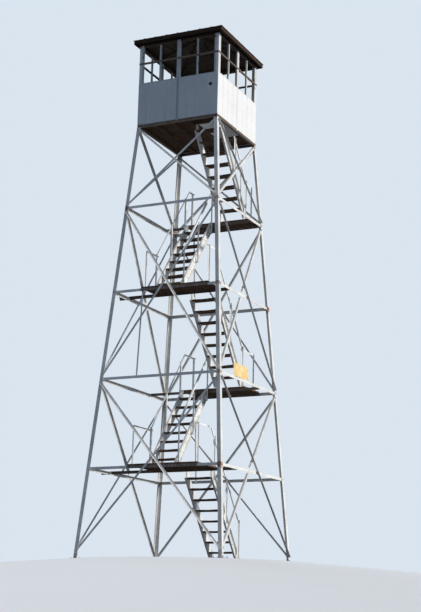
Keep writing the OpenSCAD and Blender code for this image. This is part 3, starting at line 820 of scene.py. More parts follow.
@dataclass
class SharedEffects:
    """Node groups that several finishes use, each built at its first use."""

    rust_reach: float = 0.26
    rust_amount: float = 0.42

    @staticmethod
    def begun(
        name: str, inputs: dict[str, float | None], outputs: tuple[str, ...]
    ) -> tuple[Wiring, tuple[Value, ...]]:
        """Begins a group with named sockets.

        Args:
            name: the group's name.
            inputs: socket names with their default values, or None for a vector.
            outputs: names of the value outputs.

        Returns:
            The wiring, and the inputs in their order.
        """
        w = Wiring(bpy.data.node_groups.new(name, "ShaderNodeTree"))
        for key, value in inputs.items():
            kind = "NodeSocketVector" if value is None else "NodeSocketFloat"
            socket = w.tree.interface.new_socket(name=key, in_out="INPUT", socket_type=kind)
            if value is not None:
                socket.default_value = value
        for key in outputs:
            w.tree.interface.new_socket(name=key, in_out="OUTPUT", socket_type="NodeSocketFloat")
        given = w.outputs(w.add("NodeGroupInput"))
        return w, tuple(given[key] for key in inputs)

    @staticmethod
    def ended(w: Wiring, *results: Value) -> NodeTree:
        """Ends a group.

        Args:
            w: its wiring.
            *results: what its outputs put out, in their order.

        Returns:
            The group.
        """
        out = w.add("NodeGroupOutput")
        for target, result in zip(out.inputs, results):
            w.feed(target, result)
        return w.tree

    @cached_property
    def patches(self) -> NodeTree:
        """Soft weathered patches: coarse noise plus a share of fine noise, eased to a mask.

        Returns:
            The group.
        """
        inputs = {"Vector": None, "Scale": 1.0, "Edge": 0.12, "Level": 0.5}
        w, (at, scale, edge, level) = self.begun("patches", inputs, ("Mask", "Fine"))
        coarse = at.noise(scale, 5.0, 0.6)
        fine = at.noise(scale * 9.0, 3.0, 0.6)
        mask = (coarse * 0.75 + fine * 0.25).eased(level - edge, level + edge)
        return self.ended(w, mask, fine)

    @cached_property
    def joint_rust(self) -> NodeTree:
        """Rust round the joints of the girts and the legs, run down from them in streaks.

        Its strength is the product of two eased falls: one over rust_reach from the legs'
        corner, whose half width is base_half - batter * z, and one over rust_reach below each
        ring or a quarter of that above it. Noise stretched upright breaks it up.

        Returns:
            The group.
        """
        w, (at,) = self.begun("joint_rust", {"Vector": None}, ("Mask",))
        x, y, z = at.parts()
        off = PLAN.base_half - z * PLAN.batter - abs(x).least(abs(y))
        above = ((z / PLAN.bay + 0.5).fraction() - 0.5) * PLAN.bay / self.rust_reach
        ring = above.eased(-1.0, -0.1) * above.eased(0.25, 0.02)
        near = off.eased(self.rust_reach, 0.03) * ring
        runs = at.scaled((30.0, 30.0, 4.0)).noise(1.0, 4.0, 0.65)
        broken = runs * 0.6 + at.noise(1.1, 2.0) * 0.6
        mask = (broken - (0.98 - near * self.rust_amount)).eased(-0.05, 0.12)
        return self.ended(w, mask * near.eased(0.0, 0.2))

    @cached_property
    def spangle(self) -> NodeTree:
        """Zinc crystals: each Voronoi cell has a tone of its own.

        Returns:
            The group.
        """
        w, (at,) = self.begun("spangle", {"Vector": None}, ("Tone",))
        cells = w.made("ShaderNodeTexVoronoi", {"Vector": at, "Scale": 70.0}, "Color")
        return self.ended(w, cells.parts()[0])

    @cached_property
    def grain(self) -> NodeTree:
        """Wood grain along X: fibres are noise stretched 28 times, cracks rarer and longer.

        Returns:
            The group.
        """
        w, (at,) = self.begun("wood_grain", {"Vector": None}, ("Fibre", "Crack"))
        wobble = at.noise(2.2, 2.0) * 0.02
        x, y, z = at.parts()
        packed = w.made("ShaderNodeCombineXYZ", {0: x * 0.035, 1: y + wobble, 2: z + wobble})
        crack = at.scaled((1.6, 55.0, 55.0)).noise(1.0, 2.0).eased(0.62, 0.67)
        return self.ended(w, packed.noise(70.0, 5.0, 0.7), crack)

    @cached_property
    def streaks(self) -> NodeTree:
        """Upright run marks: noise that is fine across and long down the wall.

        Returns:
            The group.
        """
        w, (at, level) = self.begun("streaks", {"Vector": None, "Level": 0.55}, ("Mask",))
        wide = at.scaled((7.0, 7.0, 0.55)).noise(1.0, 4.0, 0.65)
        fine = at.scaled((40.0, 40.0, 1.2)).noise(1.0, 3.0, 0.6)
        return self.ended(w, (wide * 0.6 + fine * 0.4).eased(level, level + 0.16))

    @cached_property
    def skyward(self) -> NodeTree:
        """Sky is 1 on faces that look up, Under on undersides, and upright ones have neither.

        Returns:
            The group.
        """
        w, _ = self.begun("skyward", {}, ("Sky", "Under"))
        up = w.coordinates("Normal").parts()[2]
        return self.ended(w, up.eased(0.35, 0.85), up.eased(-0.35, -0.85))


EFFECTS = SharedEffects()


def toned(colour: Triple, share: float) -> Triple:
    """A colour made lighter or darker by a share."""
    return tuple(min(1.0, share * part) for part in colour)


@dataclass(frozen=True)
class Look:
    """What a finish feeds to its shader.

    Attributes:
        colour: the base colour.
        roughness: the roughness.
        height: height map that shades the surface, if it has one.
        depth: distance that its whole range stands for.
        strength: strength of its shading.
    """

    colour: Value
    roughness: Value
    height: Value | None = None
    depth: float = 0.0006
    strength: float = 0.5


@dataclass(frozen=True)
class Finish:
    """What every finish has.

    Attributes:
        name: the material's name.
        metallic: share of metal.
        gloss: specular level, low on chalky and weathered surfaces.
    """

    name: str
    metallic: float = 0.0
    gloss: float = 0.25

    def look(self, w: Wiring) -> Look:
        """Lays out the finish's nodes. Each kind of finish has its own."""
        raise NotImplementedError

    @cached_property
    def material(self) -> Material:
        """The material, built at its first use.

        Returns:
            The material.
        """
        material = bpy.data.materials.new(self.name)
        material.use_nodes = True
        w = Wiring(material.node_tree)
        shader = next(n for n in material.node_tree.nodes if n.type == "BSDF_PRINCIPLED")
        shader.inputs["Metallic"].default_value = self.metallic
        shader.inputs["Specular IOR Level"].default_value = self.gloss
        look = self.look(w)
        w.feed(shader.inputs["Base Color"], look.colour)
        w.feed(shader.inputs["Roughness"], look.roughness)
        if look.height is not None:
            given = {"Strength": look.strength, "Distance": look.depth, "Height": look.height}
            w.feed(shader.inputs["Normal"], w.made("ShaderNodeBump", given))
        return material


@dataclass(frozen=True)
class ZincSteel(Finish):
    """Old galvanised steel, chalky and patchy, with rust that runs down from its joints."""

    metallic: float = 0.1
    gloss: float = 0.3
    light: Triple = (0.86, 0.85, 0.82)
    dark: Triple = (0.65, 0.645, 0.63)
    rust: Triple = (0.24, 0.11, 0.055)
    speck_level: float = 0.70
    # dark colour laid over a mask: the posts' band colour, and painted shade on the girts
    dark_tone_and_shade: Triple = (0.085, 0.058, 0.045)

    def dark_band_and_shade(self, w: Wiring, at: Value, colour: Value, mask: Value) -> Value:
        """The colour with an uneven dark tone over a mask: the band's own colour on the posts,
        painted shade on the girts.
        """
        dark_tone_and_shade = w.blend(at.noise(14.0), self.dark_tone_and_shade, toned(self.dark_tone_and_shade, 1.9))
        return w.blend(mask, colour, dark_tone_and_shade)

    def over(self, w: Wiring, at: Value, colour: Value) -> Value:
        """The colour with what a kind of steel lays over it: nothing here."""
        return colour

    def look(self, w: Wiring) -> Look:
        """Patches and spangle, dull upright runs, then rust at the joints and in specks.

        Args:
            w: the material's wiring.

        Returns:
            What its shader gets.
        """
        at = w.coordinates()
        patches = w.use(EFFECTS.patches, Vector=at, Scale=2.6, Edge=0.1, Level=0.5)
        spangle = w.use(EFFECTS.spangle, Vector=at)["Tone"]
        runs = w.use(EFFECTS.streaks, Vector=at, Level=0.48)["Mask"]
        rust = w.use(EFFECTS.joint_rust, Vector=at)["Mask"]
        specks = w.use(EFFECTS.patches, Vector=at, Scale=9.0, Edge=0.03, Level=self.speck_level)
        zinc = w.blend(patches["Mask"], self.dark, self.light)
        zinc = w.blend(spangle * 0.4, zinc, toned(self.light, 1.08))
        zinc = w.blend(runs * 0.4, zinc, toned(self.dark, 0.72))
        rusty = rust.most(specks["Mask"])
        deep = w.blend(patches["Fine"], self.rust, toned(self.rust, 1.7))
        colour = self.over(w, at, w.blend(rusty, zinc, deep))
        roughness = rusty.eased(0.0, 1.0, 0.52, 0.88)
        return Look(colour, roughness, patches["Fine"] + rusty, 0.0008)


@dataclass(frozen=True)
class PostSteel(ZincSteel):
    """The cab posts' steel, with the flat band that goes round them in a dark colour of its own.

    Attributes:
        band_face: half width of the cab beyond which only the band lies.
    """

    band_face: float = PLAN.cab_half + PLAN.seat / 2

    def over(self, w: Wiring, at: Value, colour: Value) -> Value:
        """The colour, dark on the band and a little uneven there."""
        return self.dark_band_and_shade(w, at, colour, at.outermost().above(self.band_face))


@dataclass(frozen=True)
class GirtSteel(ZincSteel):
    """The front and back girts' steel, with painted shade under the landings on every other ring.

    Attributes:
        shift: 0.5 where the landings lie on the odd rings, and 0 on the even ones.
        low: where the landings begin along X.
        high: where they end.
        blur: half the width over which the painted shade fades.
    """

    shift: float = 0.5
    low: float = -0.64
    high: float = 1.09
    blur: float = 0.04

    def over(self, w: Wiring, at: Value, colour: Value) -> Value:
        """The colour, with painted shade under the landings.

        With t the fraction of z / (2 bay) + shift, a landing's ring has t near 0 or 1, and
        the next ring has t near a half.

        Args:
            w: the wiring.
            at: object coordinates.
            colour: the colour.

        Returns:
            The new colour.
        """
        x, _, z = at.parts()
        ring = abs((z / (2 * PLAN.bay) + self.shift).fraction() - 0.5).above(0.3)
        ragged = x + at.noise(9.0) * self.blur
        begun = ragged.eased(self.low - self.blur, self.low + self.blur)
        ended = ragged.eased(self.high + 2 * self.blur, self.high)
        thin = at.scaled((25.0, 25.0, 5.0)).noise(1.0).eased(0.25, 0.5, 0.6, 0.95)
        # painted shade: the girt darkened where a landing's planks lie over it
        return self.dark_band_and_shade(w, at, colour, ring * (begun * ended) * thin)


class GrainRun(Enum):
    """Which way a timber's grain runs."""

    ALONG_FACES = "along each upright face"
    ROUND_THE_EAVES = "round the eaves"
    OWN_BOARD = "each board's own"


@dataclass(frozen=True)
class Timber(Finish):
    """Rough weathered softwood: brown fibres, dark cracks, silver-grey above and painted shade
    below.
    """

    gloss: float = 0.12
    run: GrainRun = GrainRun.OWN_BOARD
    light: Triple = (0.30, 0.20, 0.135)
    dark: Triple = (0.12, 0.07, 0.045)
    silver: Triple = (0.40, 0.37, 0.33)
    silver_dark: Triple = (0.24, 0.215, 0.185)
    silvering: float = 0.6
    # share of painted shade on faces that look down
    underside: float = 0.55
    crack: Triple = (0.03, 0.02, 0.015)

    def over(self, w: Wiring, colour: Value) -> Value:
        """The colour with what a kind of timber lays over it: nothing here."""
        return colour

    def place(self, w: Wiring) -> Value:
        """Coordinates whose X runs along the grain.

        Args:
            w: the wiring.

        Returns:
            The vector.
        """
        if self.run is GrainRun.OWN_BOARD:
            return w.attribute("board_grain", "Vector")
        at = w.coordinates()
        if self.run is GrainRun.ROUND_THE_EAVES:
            x, y, _ = at.parts()
            sideways = abs(x).above(abs(y))
        else:
            sideways = abs(w.coordinates("Normal").parts()[1]).below(0.5)
        turned = at.scaled((1.0, 1.0, 1.0), (0.0, 0.0, math.pi / 2))
        given = {0: sideways, 4: at, 5: turned}
        return w.made("ShaderNodeMix", given, 1, data_type="VECTOR")

    def look(self, w: Wiring) -> Look:
        """Fibres and stains, silvered above and given painted shade below, then the cracks.

        Args:
            w: the material's wiring.

        Returns:
            What its shader gets.
        """
        along = self.place(w)
        grain = w.use(EFFECTS.grain, Vector=along)
        stains = w.use(EFFECTS.patches, Vector=along, Scale=3.5, Edge=0.14, Level=0.5)["Mask"]
        facing = w.use(EFFECTS.skyward)
        fibre, crack = grain["Fibre"], grain["Crack"]
        wood = w.blend(fibre.eased(0.3, 0.7), self.dark, self.light)
        wood = w.blend(stains * 0.45, wood, self.dark)
        grey = w.blend(fibre, self.silver_dark, self.silver)
        wood = w.blend(facing["Sky"] * self.silvering, wood, grey)
        # painted shade: undersides darkened towards a deeper brown
        wood = w.blend(facing["Under"] * self.underside, wood, toned(self.dark, 0.45))
        colour = self.over(w, w.blend(crack * 0.85, wood, self.crack))
        return Look(colour, fibre.eased(0.2, 0.8, 0.92, 0.72), fibre - crack, 0.0015, 0.7)


@dataclass(frozen=True)
class EavesTimber(Timber):
    """The eaves' dark timber, with rust washed off the roof over its upper edge.

    Attributes:
        edge: height of the fascia's upper edge.
        wash: how far the rust has run down it.
        face: half width of the roof beyond which only the fascia's outer face lies.
        rust: colour of the rust.
    """

    edge: float = PLAN.tower_h + PLAN.eave_h - PLAN.seat
    wash: float = 0.045
    face: float = PLAN.roof_half - 0.0005
    rust: Triple = (0.105, 0.052, 0.03)

    def over(self, w: Wiring, colour: Value) -> Value:
        """The colour with ragged rust down the outer face from its upper edge.

        Args:
            w: the wiring.
            colour: the colour.

        Returns:
            The new colour.
        """
        at = w.coordinates()
        fall = (self.edge - at.parts()[2]) / self.wash
        ragged = at.scaled((16.0, 16.0, 1.5)).noise(1.0, 4.0, 0.6)
        mask = (ragged - fall * 0.35).eased(0.22, 0.42)
        return w.blend(mask * at.outermost().above(self.face), colour, self.rust)


@dataclass(frozen=True)
class FloorTimber(Timber):
    """The floor boards' timber, with dirt in the joints.

    Attributes:
        joint: share of a board's half width at which the dirt begins.
        dirt: its colour.
    """

    joint: float = 0.94
    dirt: Triple = (0.02, 0.015, 0.012)

    def over(self, w: Wiring, colour: Value) -> Value:
        """The colour with dark dirt along the long edges of each board."""
        edge = w.attribute("board_edge").eased(self.joint, 0.97)
        return w.blend(edge * 0.85, colour, self.dirt)


@dataclass(frozen=True)
class CeilingTimber(Timber):
    """The roof boards' timber, with a dark line along each joint between two boards.

    Attributes:
        pitch: distance from joint to joint, measured level.
        line: half the width of the dark line.
        dirt: its colour.
    """

    pitch: float = PLAN.roof_half / 8
    line: float = 0.003
    dirt: Triple = (0.012, 0.009, 0.007)

    def over(self, w: Wiring, colour: Value) -> Value:
        """The colour with the joints, which lie at even steps in from the eave.

        Args:
            w: the wiring.
            colour: the colour.

        Returns:
            The new colour.
        """
        steps = (PLAN.roof_half - w.coordinates().outermost()) / self.pitch
        off = abs((steps + 0.5).fraction() - 0.5) * self.pitch
        return w.blend(off.eased(1.6 * self.line, 0.6 * self.line), colour, self.dirt)


@dataclass(frozen=True)
class PalePaint(Finish):
    """Chalky pale paint with run marks, dirt in patches, and painted shade on the folds."""

    light: Triple = (0.90, 0.90, 0.895)
    # colour of the dirt, and of the painted shade on the folds
    grime_and_shade: Triple = (0.60, 0.61, 0.62)
    bare: Triple = (0.30, 0.16, 0.09)
    bare_level: float = 0.72
    smooth: float = 0.5

    def over(self, w: Wiring, colour: Value, worn: Value, fine: Value) -> tuple[Value, Value]:
        """The colour and the worn mask with what a kind of paint adds: nothing here."""
        return colour, worn

    def look(self, w: Wiring) -> Look:
        """Runs, dirt and painted shade on the folds over the clean paint, then the bare spots.

        Args:
            w: the material's wiring.

        Returns:
            What its shader gets.
        """
        at = w.coordinates()
        runs = w.use(EFFECTS.streaks, Vector=at, Level=0.5)["Mask"]
        patches = w.use(EFFECTS.patches, Vector=at, Scale=1.7, Edge=0.16, Level=0.52)
        chips = w.use(EFFECTS.patches, Vector=at, Scale=7.0, Edge=0.02, Level=self.bare_level)
        # dirt from runs and patches, and painted shade on the crimps' folds at up to 0.7
        dull = ((runs + patches["Mask"]) * 0.22).most(w.attribute("fold") * 0.7)
        paint = w.blend(dull, self.light, self.grime_and_shade)
        colour = w.blend(chips["Mask"], paint, self.bare)
        colour, worn = self.over(w, colour, chips["Mask"], patches["Fine"])
        return Look(colour, worn.eased(0.0, 1.0, self.smooth, 0.9), patches["Fine"] - worn)


@dataclass(frozen=True)
class WallPaint(PalePaint):
    """The cab walls' paint: a damp dark edge at the foot, and one rust-eaten spot in front."""

    foot: float = PLAN.tower_h - 0.03
    damp: Triple = (0.17, 0.12, 0.09)
    spot: Triple = (0.87, -1.068, 11.16)
    spot_r: float = 0.045
    eaten: Triple = (0.06, 0.035, 0.025)

    def over(self, w: Wiring, colour: Value, worn: Value, fine: Value) -> tuple[Value, Value]:
        """The paint with the damp edge and the eaten spot.

        Args:
            w: the wiring.
            colour: colour of the paint.
            worn: mask of its bare spots.
            fine: fine noise.

        Returns:
            The colour and the mask of all worn places.
        """
        at = w.coordinates()
        damp = (at.parts()[2].eased(self.foot + 0.07, self.foot) + fine * 0.5).eased(0.75, 1.1)
        off = w.made("ShaderNodeVectorMath", {0: at, 1: self.spot}, "Value", operation="DISTANCE")
        eaten = (off + fine * self.spot_r).eased(1.7 * self.spot_r, 1.2 * self.spot_r)
        colour = w.blend(eaten, w.blend(damp, colour, self.damp), self.eaten)
        return colour, worn.most(damp).most(eaten)


@dataclass(frozen=True)
class SashPaint(PalePaint):
    """The windows' thin paint, worn to grey wood, with head rails and level bars dark: dark wood
    with painted shade.

    Attributes:
        head: height above which the wood is dark.
        bars: height of the middle of the level bars.
        bar_half: half the width of a bar, level or upright.
        stile: width of the uprights at a sash's ends, which stay pale.
        middle: place of the upright bar of a sash.
        reach: distance of a sash's outer end from the middle of the wall.
        dark_tone_and_shade: darkest colour of the dark rails and bars, their own dark wood with
            painted shade.
        dark_tone_and_shade_light: its lightest colour.
    """

    gloss: float = 0.2
    light: Triple = (0.74, 0.74, 0.73)
    grime_and_shade: Triple = (0.42, 0.41, 0.40)
    bare: Triple = (0.27, 0.22, 0.18)
    bare_level: float = 0.6
    smooth: float = 0.55
    head: float = PLAN.tower_h + 1.9715
    bars: float = PLAN.tower_h + 1.55
    bar_half: float = 0.0185
    stile: float = 0.0485
    middle: float = 0.5008
    reach: float = 1.0017
    dark_tone_and_shade: Triple = (0.05, 0.032, 0.024)
    dark_tone_and_shade_light: Triple = (0.12, 0.08, 0.06)

    def over(self, w: Wiring, colour: Value, worn: Value, fine: Value) -> tuple[Value, Value]:
        """The paint with the head rails and the bars between the uprights made dark, partly as
        painted shade.

        The distance along a wall is the smaller of |x| and |y|, as the other one is the
        wall's own distance from the middle of the cab.

        Args:
            w: the wiring.
            colour: colour of the paint.
            worn: mask of its bare spots.
            fine: fine noise.

        Returns:
            The colour and the mask of bare spots.
        """
        x, y, z = w.coordinates().parts()
        along = abs(x).least(abs(y))
        between = along.above(self.stile) * along.below(self.reach - self.stile)
        level = abs(z - self.bars).below(self.bar_half)
        level = level * abs(along - self.middle).above(self.bar_half)
        dark_tone_and_shade = w.blend(fine, self.dark_tone_and_shade, self.dark_tone_and_shade_light)
        # head rails and level bars: dark wood colour together with painted shade
        return w.blend(between * z.above(self.head).most(level), colour, dark_tone_and_shade), worn


@dataclass(frozen=True)
class RoofMetal(Finish):
    """Old roof sheet: dull zinc gone brown with rust that spreads in patches, runs and pits."""

    metallic: float = 0.2
    gloss: float = 0.2
    zinc: Triple = (0.33, 0.31, 0.29)
    run: Triple = (0.20, 0.175, 0.16)
    rust: Triple = (0.25, 0.12, 0.062)
    rust_dark: Triple = (0.085, 0.042, 0.027)
    pit: Triple = (0.06, 0.03, 0.02)
    speck: Triple = (0.12, 0.09, 0.075)

    def look(self, w: Wiring) -> Look:
        """Zinc with runs and pits, mixed with rust that has deeper pits.

        Args:
            w: the material's wiring.

        Returns:
            What its shader gets.
        """
        at = w.coordinates()
        patches = w.use(EFFECTS.patches, Vector=at, Scale=1.5, Edge=0.1, Level=0.47)
        runs = w.use(EFFECTS.streaks, Vector=at, Level=0.46)["Mask"]
        pits = at.noise(75.0, 3.0, 0.7).eased(0.50, 0.62)
        rusty, fine = patches["Mask"], patches["Fine"]
        rust = w.blend(pits * 0.55, w.blend(fine, self.rust_dark, self.rust), self.pit)
        zinc = w.blend(pits * 0.25, w.blend(runs, self.zinc, self.run), self.speck)
        roughness = rusty.eased(0.0, 1.0, 0.5, 0.88)
        return Look(w.blend(rusty, zinc, rust), roughness, fine + rusty - pits * 0.5, 0.001, 0.6)


@dataclass(frozen=True)
class FadedSign(Finish):
    """Faded sign paint with dirt runs."""

    paint: Triple = (0.86, 0.58, 0.22)
    faded: Triple = (0.92, 0.78, 0.45)
    dirt: Triple = (0.38, 0.25, 0.12)

    def look(self, w: Wiring) -> Look:
        """Faded patches over the paint, then the runs.

        Args:
            w: the material's wiring.

        Returns:
            What its shader gets.
        """
        at = w.coordinates()
        runs = w.use(EFFECTS.streaks, Vector=at, Level=0.5)["Mask"]
        patches = w.use(EFFECTS.patches, Vector=at, Scale=6.0, Edge=0.12, Level=0.55)["Mask"]
        paint = w.blend(patches, self.paint, self.faded)
        colour = w.blend(runs * 0.3, paint, self.dirt)
        return Look(colour, runs.eased(0.0, 1.0, 0.42, 0.7))


EAVES_DARK = {"light": (0.07, 0.047, 0.034), "dark": (0.026, 0.018, 0.013), "silvering": 0.3}
# underside is the share of painted shade on the undersides
ROOF_GREY = {"light": (0.21, 0.18, 0.155), "dark": (0.085, 0.07, 0.06), "underside": 0.3}


class Coat(Enum):
    """Every finish of the tower."""

    LEG = ZincSteel("galvanised_angle")
    FRONT_GIRT = GirtSteel("front_girt_steel")
    BACK_GIRT = GirtSteel("back_girt_steel", shift=0.0)
    BRACE = ZincSteel("galvanised_brace", light=(0.80, 0.79, 0.77), dark=(0.57, 0.57, 0.56))
    # painted light: lighter than the other steel, to stand in for sun on the rails and hangers
    RAIL_WITH_PAINTED_LIGHT = ZincSteel("rail_steel", light=(0.92, 0.92, 0.91), dark=(0.80, 0.80, 0.79))
    POST = PostSteel("cab_post_steel", light=(0.80, 0.80, 0.79), dark=(0.62, 0.62, 0.61))
    FOOT = ZincSteel(
        "foot_steel", light=(0.50, 0.48, 0.46), dark=(0.30, 0.28, 0.27), speck_level=0.58
    )
    SILL = ZincSteel(
        "sill_steel", light=(0.19, 0.14, 0.11), dark=(0.10, 0.07, 0.055), rust=(0.15, 0.07, 0.04)
    )
    BOLT = ZincSteel(
        "bolt_steel", light=(0.62, 0.61, 0.60), dark=(0.42, 0.41, 0.40), speck_level=0.6
    )
    STEP = Timber("step_timber")
    FLOOR = FloorTimber("floor_board", silvering=0.35)
    JOIST = Timber("floor_joist", run=GrainRun.ALONG_FACES, dark=(0.09, 0.055, 0.035))
    EAVES = EavesTimber("eave_timber", run=GrainRun.ROUND_THE_EAVES, **EAVES_DARK)
    RAFTER = Timber("rafter_timber", run=GrainRun.ROUND_THE_EAVES, **ROOF_GREY)
    CEILING = CeilingTimber("ceiling_timber", run=GrainRun.ROUND_THE_EAVES, **ROOF_GREY)
    WALL = WallPaint("wall_paint")
    SEAM = PalePaint("seam_paint", light=(0.86, 0.86, 0.855))
    # darker seam strip for the front and back: dirt and painted shade
    GRIMY_SHADED_SEAM = PalePaint("grimy_shaded_seam", light=(0.54, 0.545, 0.55), grime_and_shade=(0.36, 0.37, 0.38))
    WINDOW = SashPaint("window_paint")
    ROOF = RoofMetal("roof_metal")
    SIGN = FadedSign("sign_paint")

    @property
    def material(self) -> Material:
        """The finish's material."""
        return self.value.material


# The steel frame


@dataclass(frozen=True)
class LatticeFrame:
    """Legs, girts and crossed braces on four leaning sides, with their bolts.

    Attributes:
        crossings: lowest and highest ring of each X of braces on a side.
        end_margin: distance of a brace's last bolt from its end.
    """

    crossings: tuple[tuple[int, int], ...] = ((0, 2), (2, 4), (4, 5))
    end_margin: float = 0.016

    def brace_ends(self, low: int, high: int) -> tuple[Array, Array]:
        """Ends of the diagonal that climbs from right to left, in the side's plane.

        Args:
            low: the ring at its foot.
            high: the ring at its head.

        Returns:
            Two arrays (along, up).
        """
        foot = PLAN.foot_t + PLAN.lug_h if low == 0 else low * PLAN.bay + PLAN.girt_t
        w0 = (foot + PLAN.brace_gap) * PLAN.stretch
        w1 = (high * PLAN.bay - PLAN.girt_w - PLAN.brace_gap) * PLAN.stretch
        inset = PLAN.leg_w / 2
        start = np.array([PLAN.face_half(w0) - inset, w0])
        return start, np.array([inset - PLAN.face_half(w1), w1])

    def brace_bolts(self) -> Array:
        """Bolts of one side's braces: two at each end and one at each crossing.

        Returns:
            Rows (along, up).
        """
        rows = []
        for low, high in self.crossings:
            start, end = self.brace_ends(low, high)
            run = (end - start) / np.linalg.norm(end - start)
            for step in (self.end_margin, self.end_margin + PLAN.bolt_step):
                for point in (start + run * step, end - run * step):
                    rows += [point, point * [-1, 1]]
            rows.append(start + (end - start) * start[0] / (start[0] - end[0]))
        return np.array(rows)

    def girt_bolts(self) -> Array:
        """Bolts of one side's girts: two at each end of each girt.

        Returns:
            Rows (along, up).
        """
        rings = np.arange(1, PLAN.bays) * PLAN.bay
        up = (rings - PLAN.girt_w / 2) * PLAN.stretch
        inner = PLAN.half_at(rings) - PLAN.bolt_inset
        rows = [stacked(hand * (inner - step), up)
                for hand in (-1, 1) for step in (0.0, PLAN.bolt_step)]
        return np.concatenate(rows)

    def build(self) -> None:
        """Dresses the steel and adds its bolts, heads outside and nuts inside."""
        corners = ("front_left", "front_right", "back_right", "back_left")
        dress(Coat.LEG, *(f"leg_{corner}" for corner in corners))
        dress(Coat.LEG, "right_girts", "left_girts")
        dress(Coat.FRONT_GIRT, "front_girts")
        dress(Coat.BACK_GIRT, "back_girts")
        dress(Coat.BRACE, *(f"{side}_braces" for side in SIDE_NAMES))
        outside = -(PLAN.brace_t + PLAN.seat)
        inside = PLAN.leg_t + PLAN.seat + PLAN.girt_t
        braces, girts = self.brace_bolts(), self.girt_bolts()
        heads = np.concatenate([
            np.insert(braces, 1, outside, axis=1),
            np.insert(girts, 1, 0.0, axis=1),
        ])
        nuts = np.insert(np.concatenate([braces, girts]), 1, inside, axis=1)
        for side, name in enumerate(SIDE_NAMES):
            place = leaning_side(side)
            out = place.directions(OUTWARDS)
            bolts = joined([
                Fastener.HEX_BOLT.at(place.points(heads), out),
                Fastener.NUT_AND_END.at(place.points(nuts), -out),
            ])
            make_piece(f"{name}_frame_bolts", bolts, Coat.BOLT)


@dataclass(frozen=True)
class Feet:
    """Foot plates with lugs, anchor nuts and lug bolts."""

    centre: float = 1.77
    anchor_half: float = 0.11
    lug_bolts: tuple[float, float] = (0.06, 0.12)

    def build(self) -> None:
        """Dresses the shoes and adds anchors and bolts."""
        dress(Coat.FOOT, "foot_shoes")
        signs = spread([-1, 1], [-1, 1])
        flat = (signs[:, None] * self.centre + signs[None] * self.anchor_half).reshape(-1, 2)
        parts = [Fastener.ANCHOR.at(np.insert(flat, 2, PLAN.foot_t, axis=1), UP)]
        edge = PLAN.base_half - PLAN.bolt_inset
        hand, step, up = spread([-1, 1], [0.0, PLAN.bolt_step], self.lug_bolts).T
        local = stacked(hand * (edge - step), 0.0, up)
        for side in SIDES:
            place = leaning_side(side)
            parts.append(Fastener.HEX_BOLT.at(place.points(local), place.directions(OUTWARDS)))
        make_piece("anchors_and_lug_bolts", joined(parts), Coat.FOOT)


# The stair


@dataclass(frozen=True)
class StairFlights:
    """Five flights: channel stringers, worn wooden treads and their bolts."""

    tread_d: float = 0.195
    wear: float = 0.006
    seed: int = 10
    bolt_y: float = 0.045
    bolt_in: float = 0.022
    sunk: float = 0.0015

    def treads(self, number: int) -> Surface:
        """The worn treads of one flight.

        Args:
            number: number of the flight.

        Returns:
            The treads.
        """
        steps = np.arange(1, PLAN.risers)
        along = steps * PLAN.going - PLAN.stair_y
        middle = stacked(0.0, along, steps * PLAN.rise - PLAN.tread_t / 2)
        centre = flight_place(number).points(middle)
        half = np.array([PLAN.tread_w, self.tread_d, PLAN.tread_t]) / 2
        return SawnBoards(0, self.seed + number, self.wear).surface(centre - half, centre + half)

    def bolts(self, number: int) -> list[Surface]:
        """Round heads on the treads and hex heads on the stringers' webs.

        Args:
            number: number of the flight.

        Returns:
            Both kinds of bolts.
        """
        place = flight_place(number)
        step, hand, end = spread(np.arange(1, PLAN.risers), [-1, 1], [-1, 1]).T
        y = step * PLAN.going - PLAN.stair_y + end * self.bolt_y
        level = step * PLAN.rise
        on_top = stacked(hand * (PLAN.tread_w / 2 - self.bolt_in), y, level - self.sunk)
        web = PLAN.tread_w / 2 + PLAN.seat + PLAN.stringer_t
        at_web = stacked(hand * web, y, level - PLAN.tread_t - self.bolt_in)
        outwards = place.directions(stacked(hand, 0.0, 0.0))
        return [
            Fastener.CARRIAGE_HEAD.at(place.points(on_top), UP),
            Fastener.HEX_BOLT.at(place.points(at_web), outwards),
        ]

    def build(self) -> None:
        """Builds the treads and bolts and dresses the stringers."""
        numbers = range(1, PLAN.bays + 1)
        dress(Coat.LEG, *(f"flight_{n}_stringers" for n in numbers))
        for n in numbers:
            make_piece(f"flight_{n}_worn_treads", self.treads(n), Coat.STEP,
                       f"flight_{n}_treads", Shading.SMOOTH)
        bolts = joined([part for n in numbers for part in self.bolts(n)])
        make_piece("stair_bolts", bolts, Coat.BOLT)


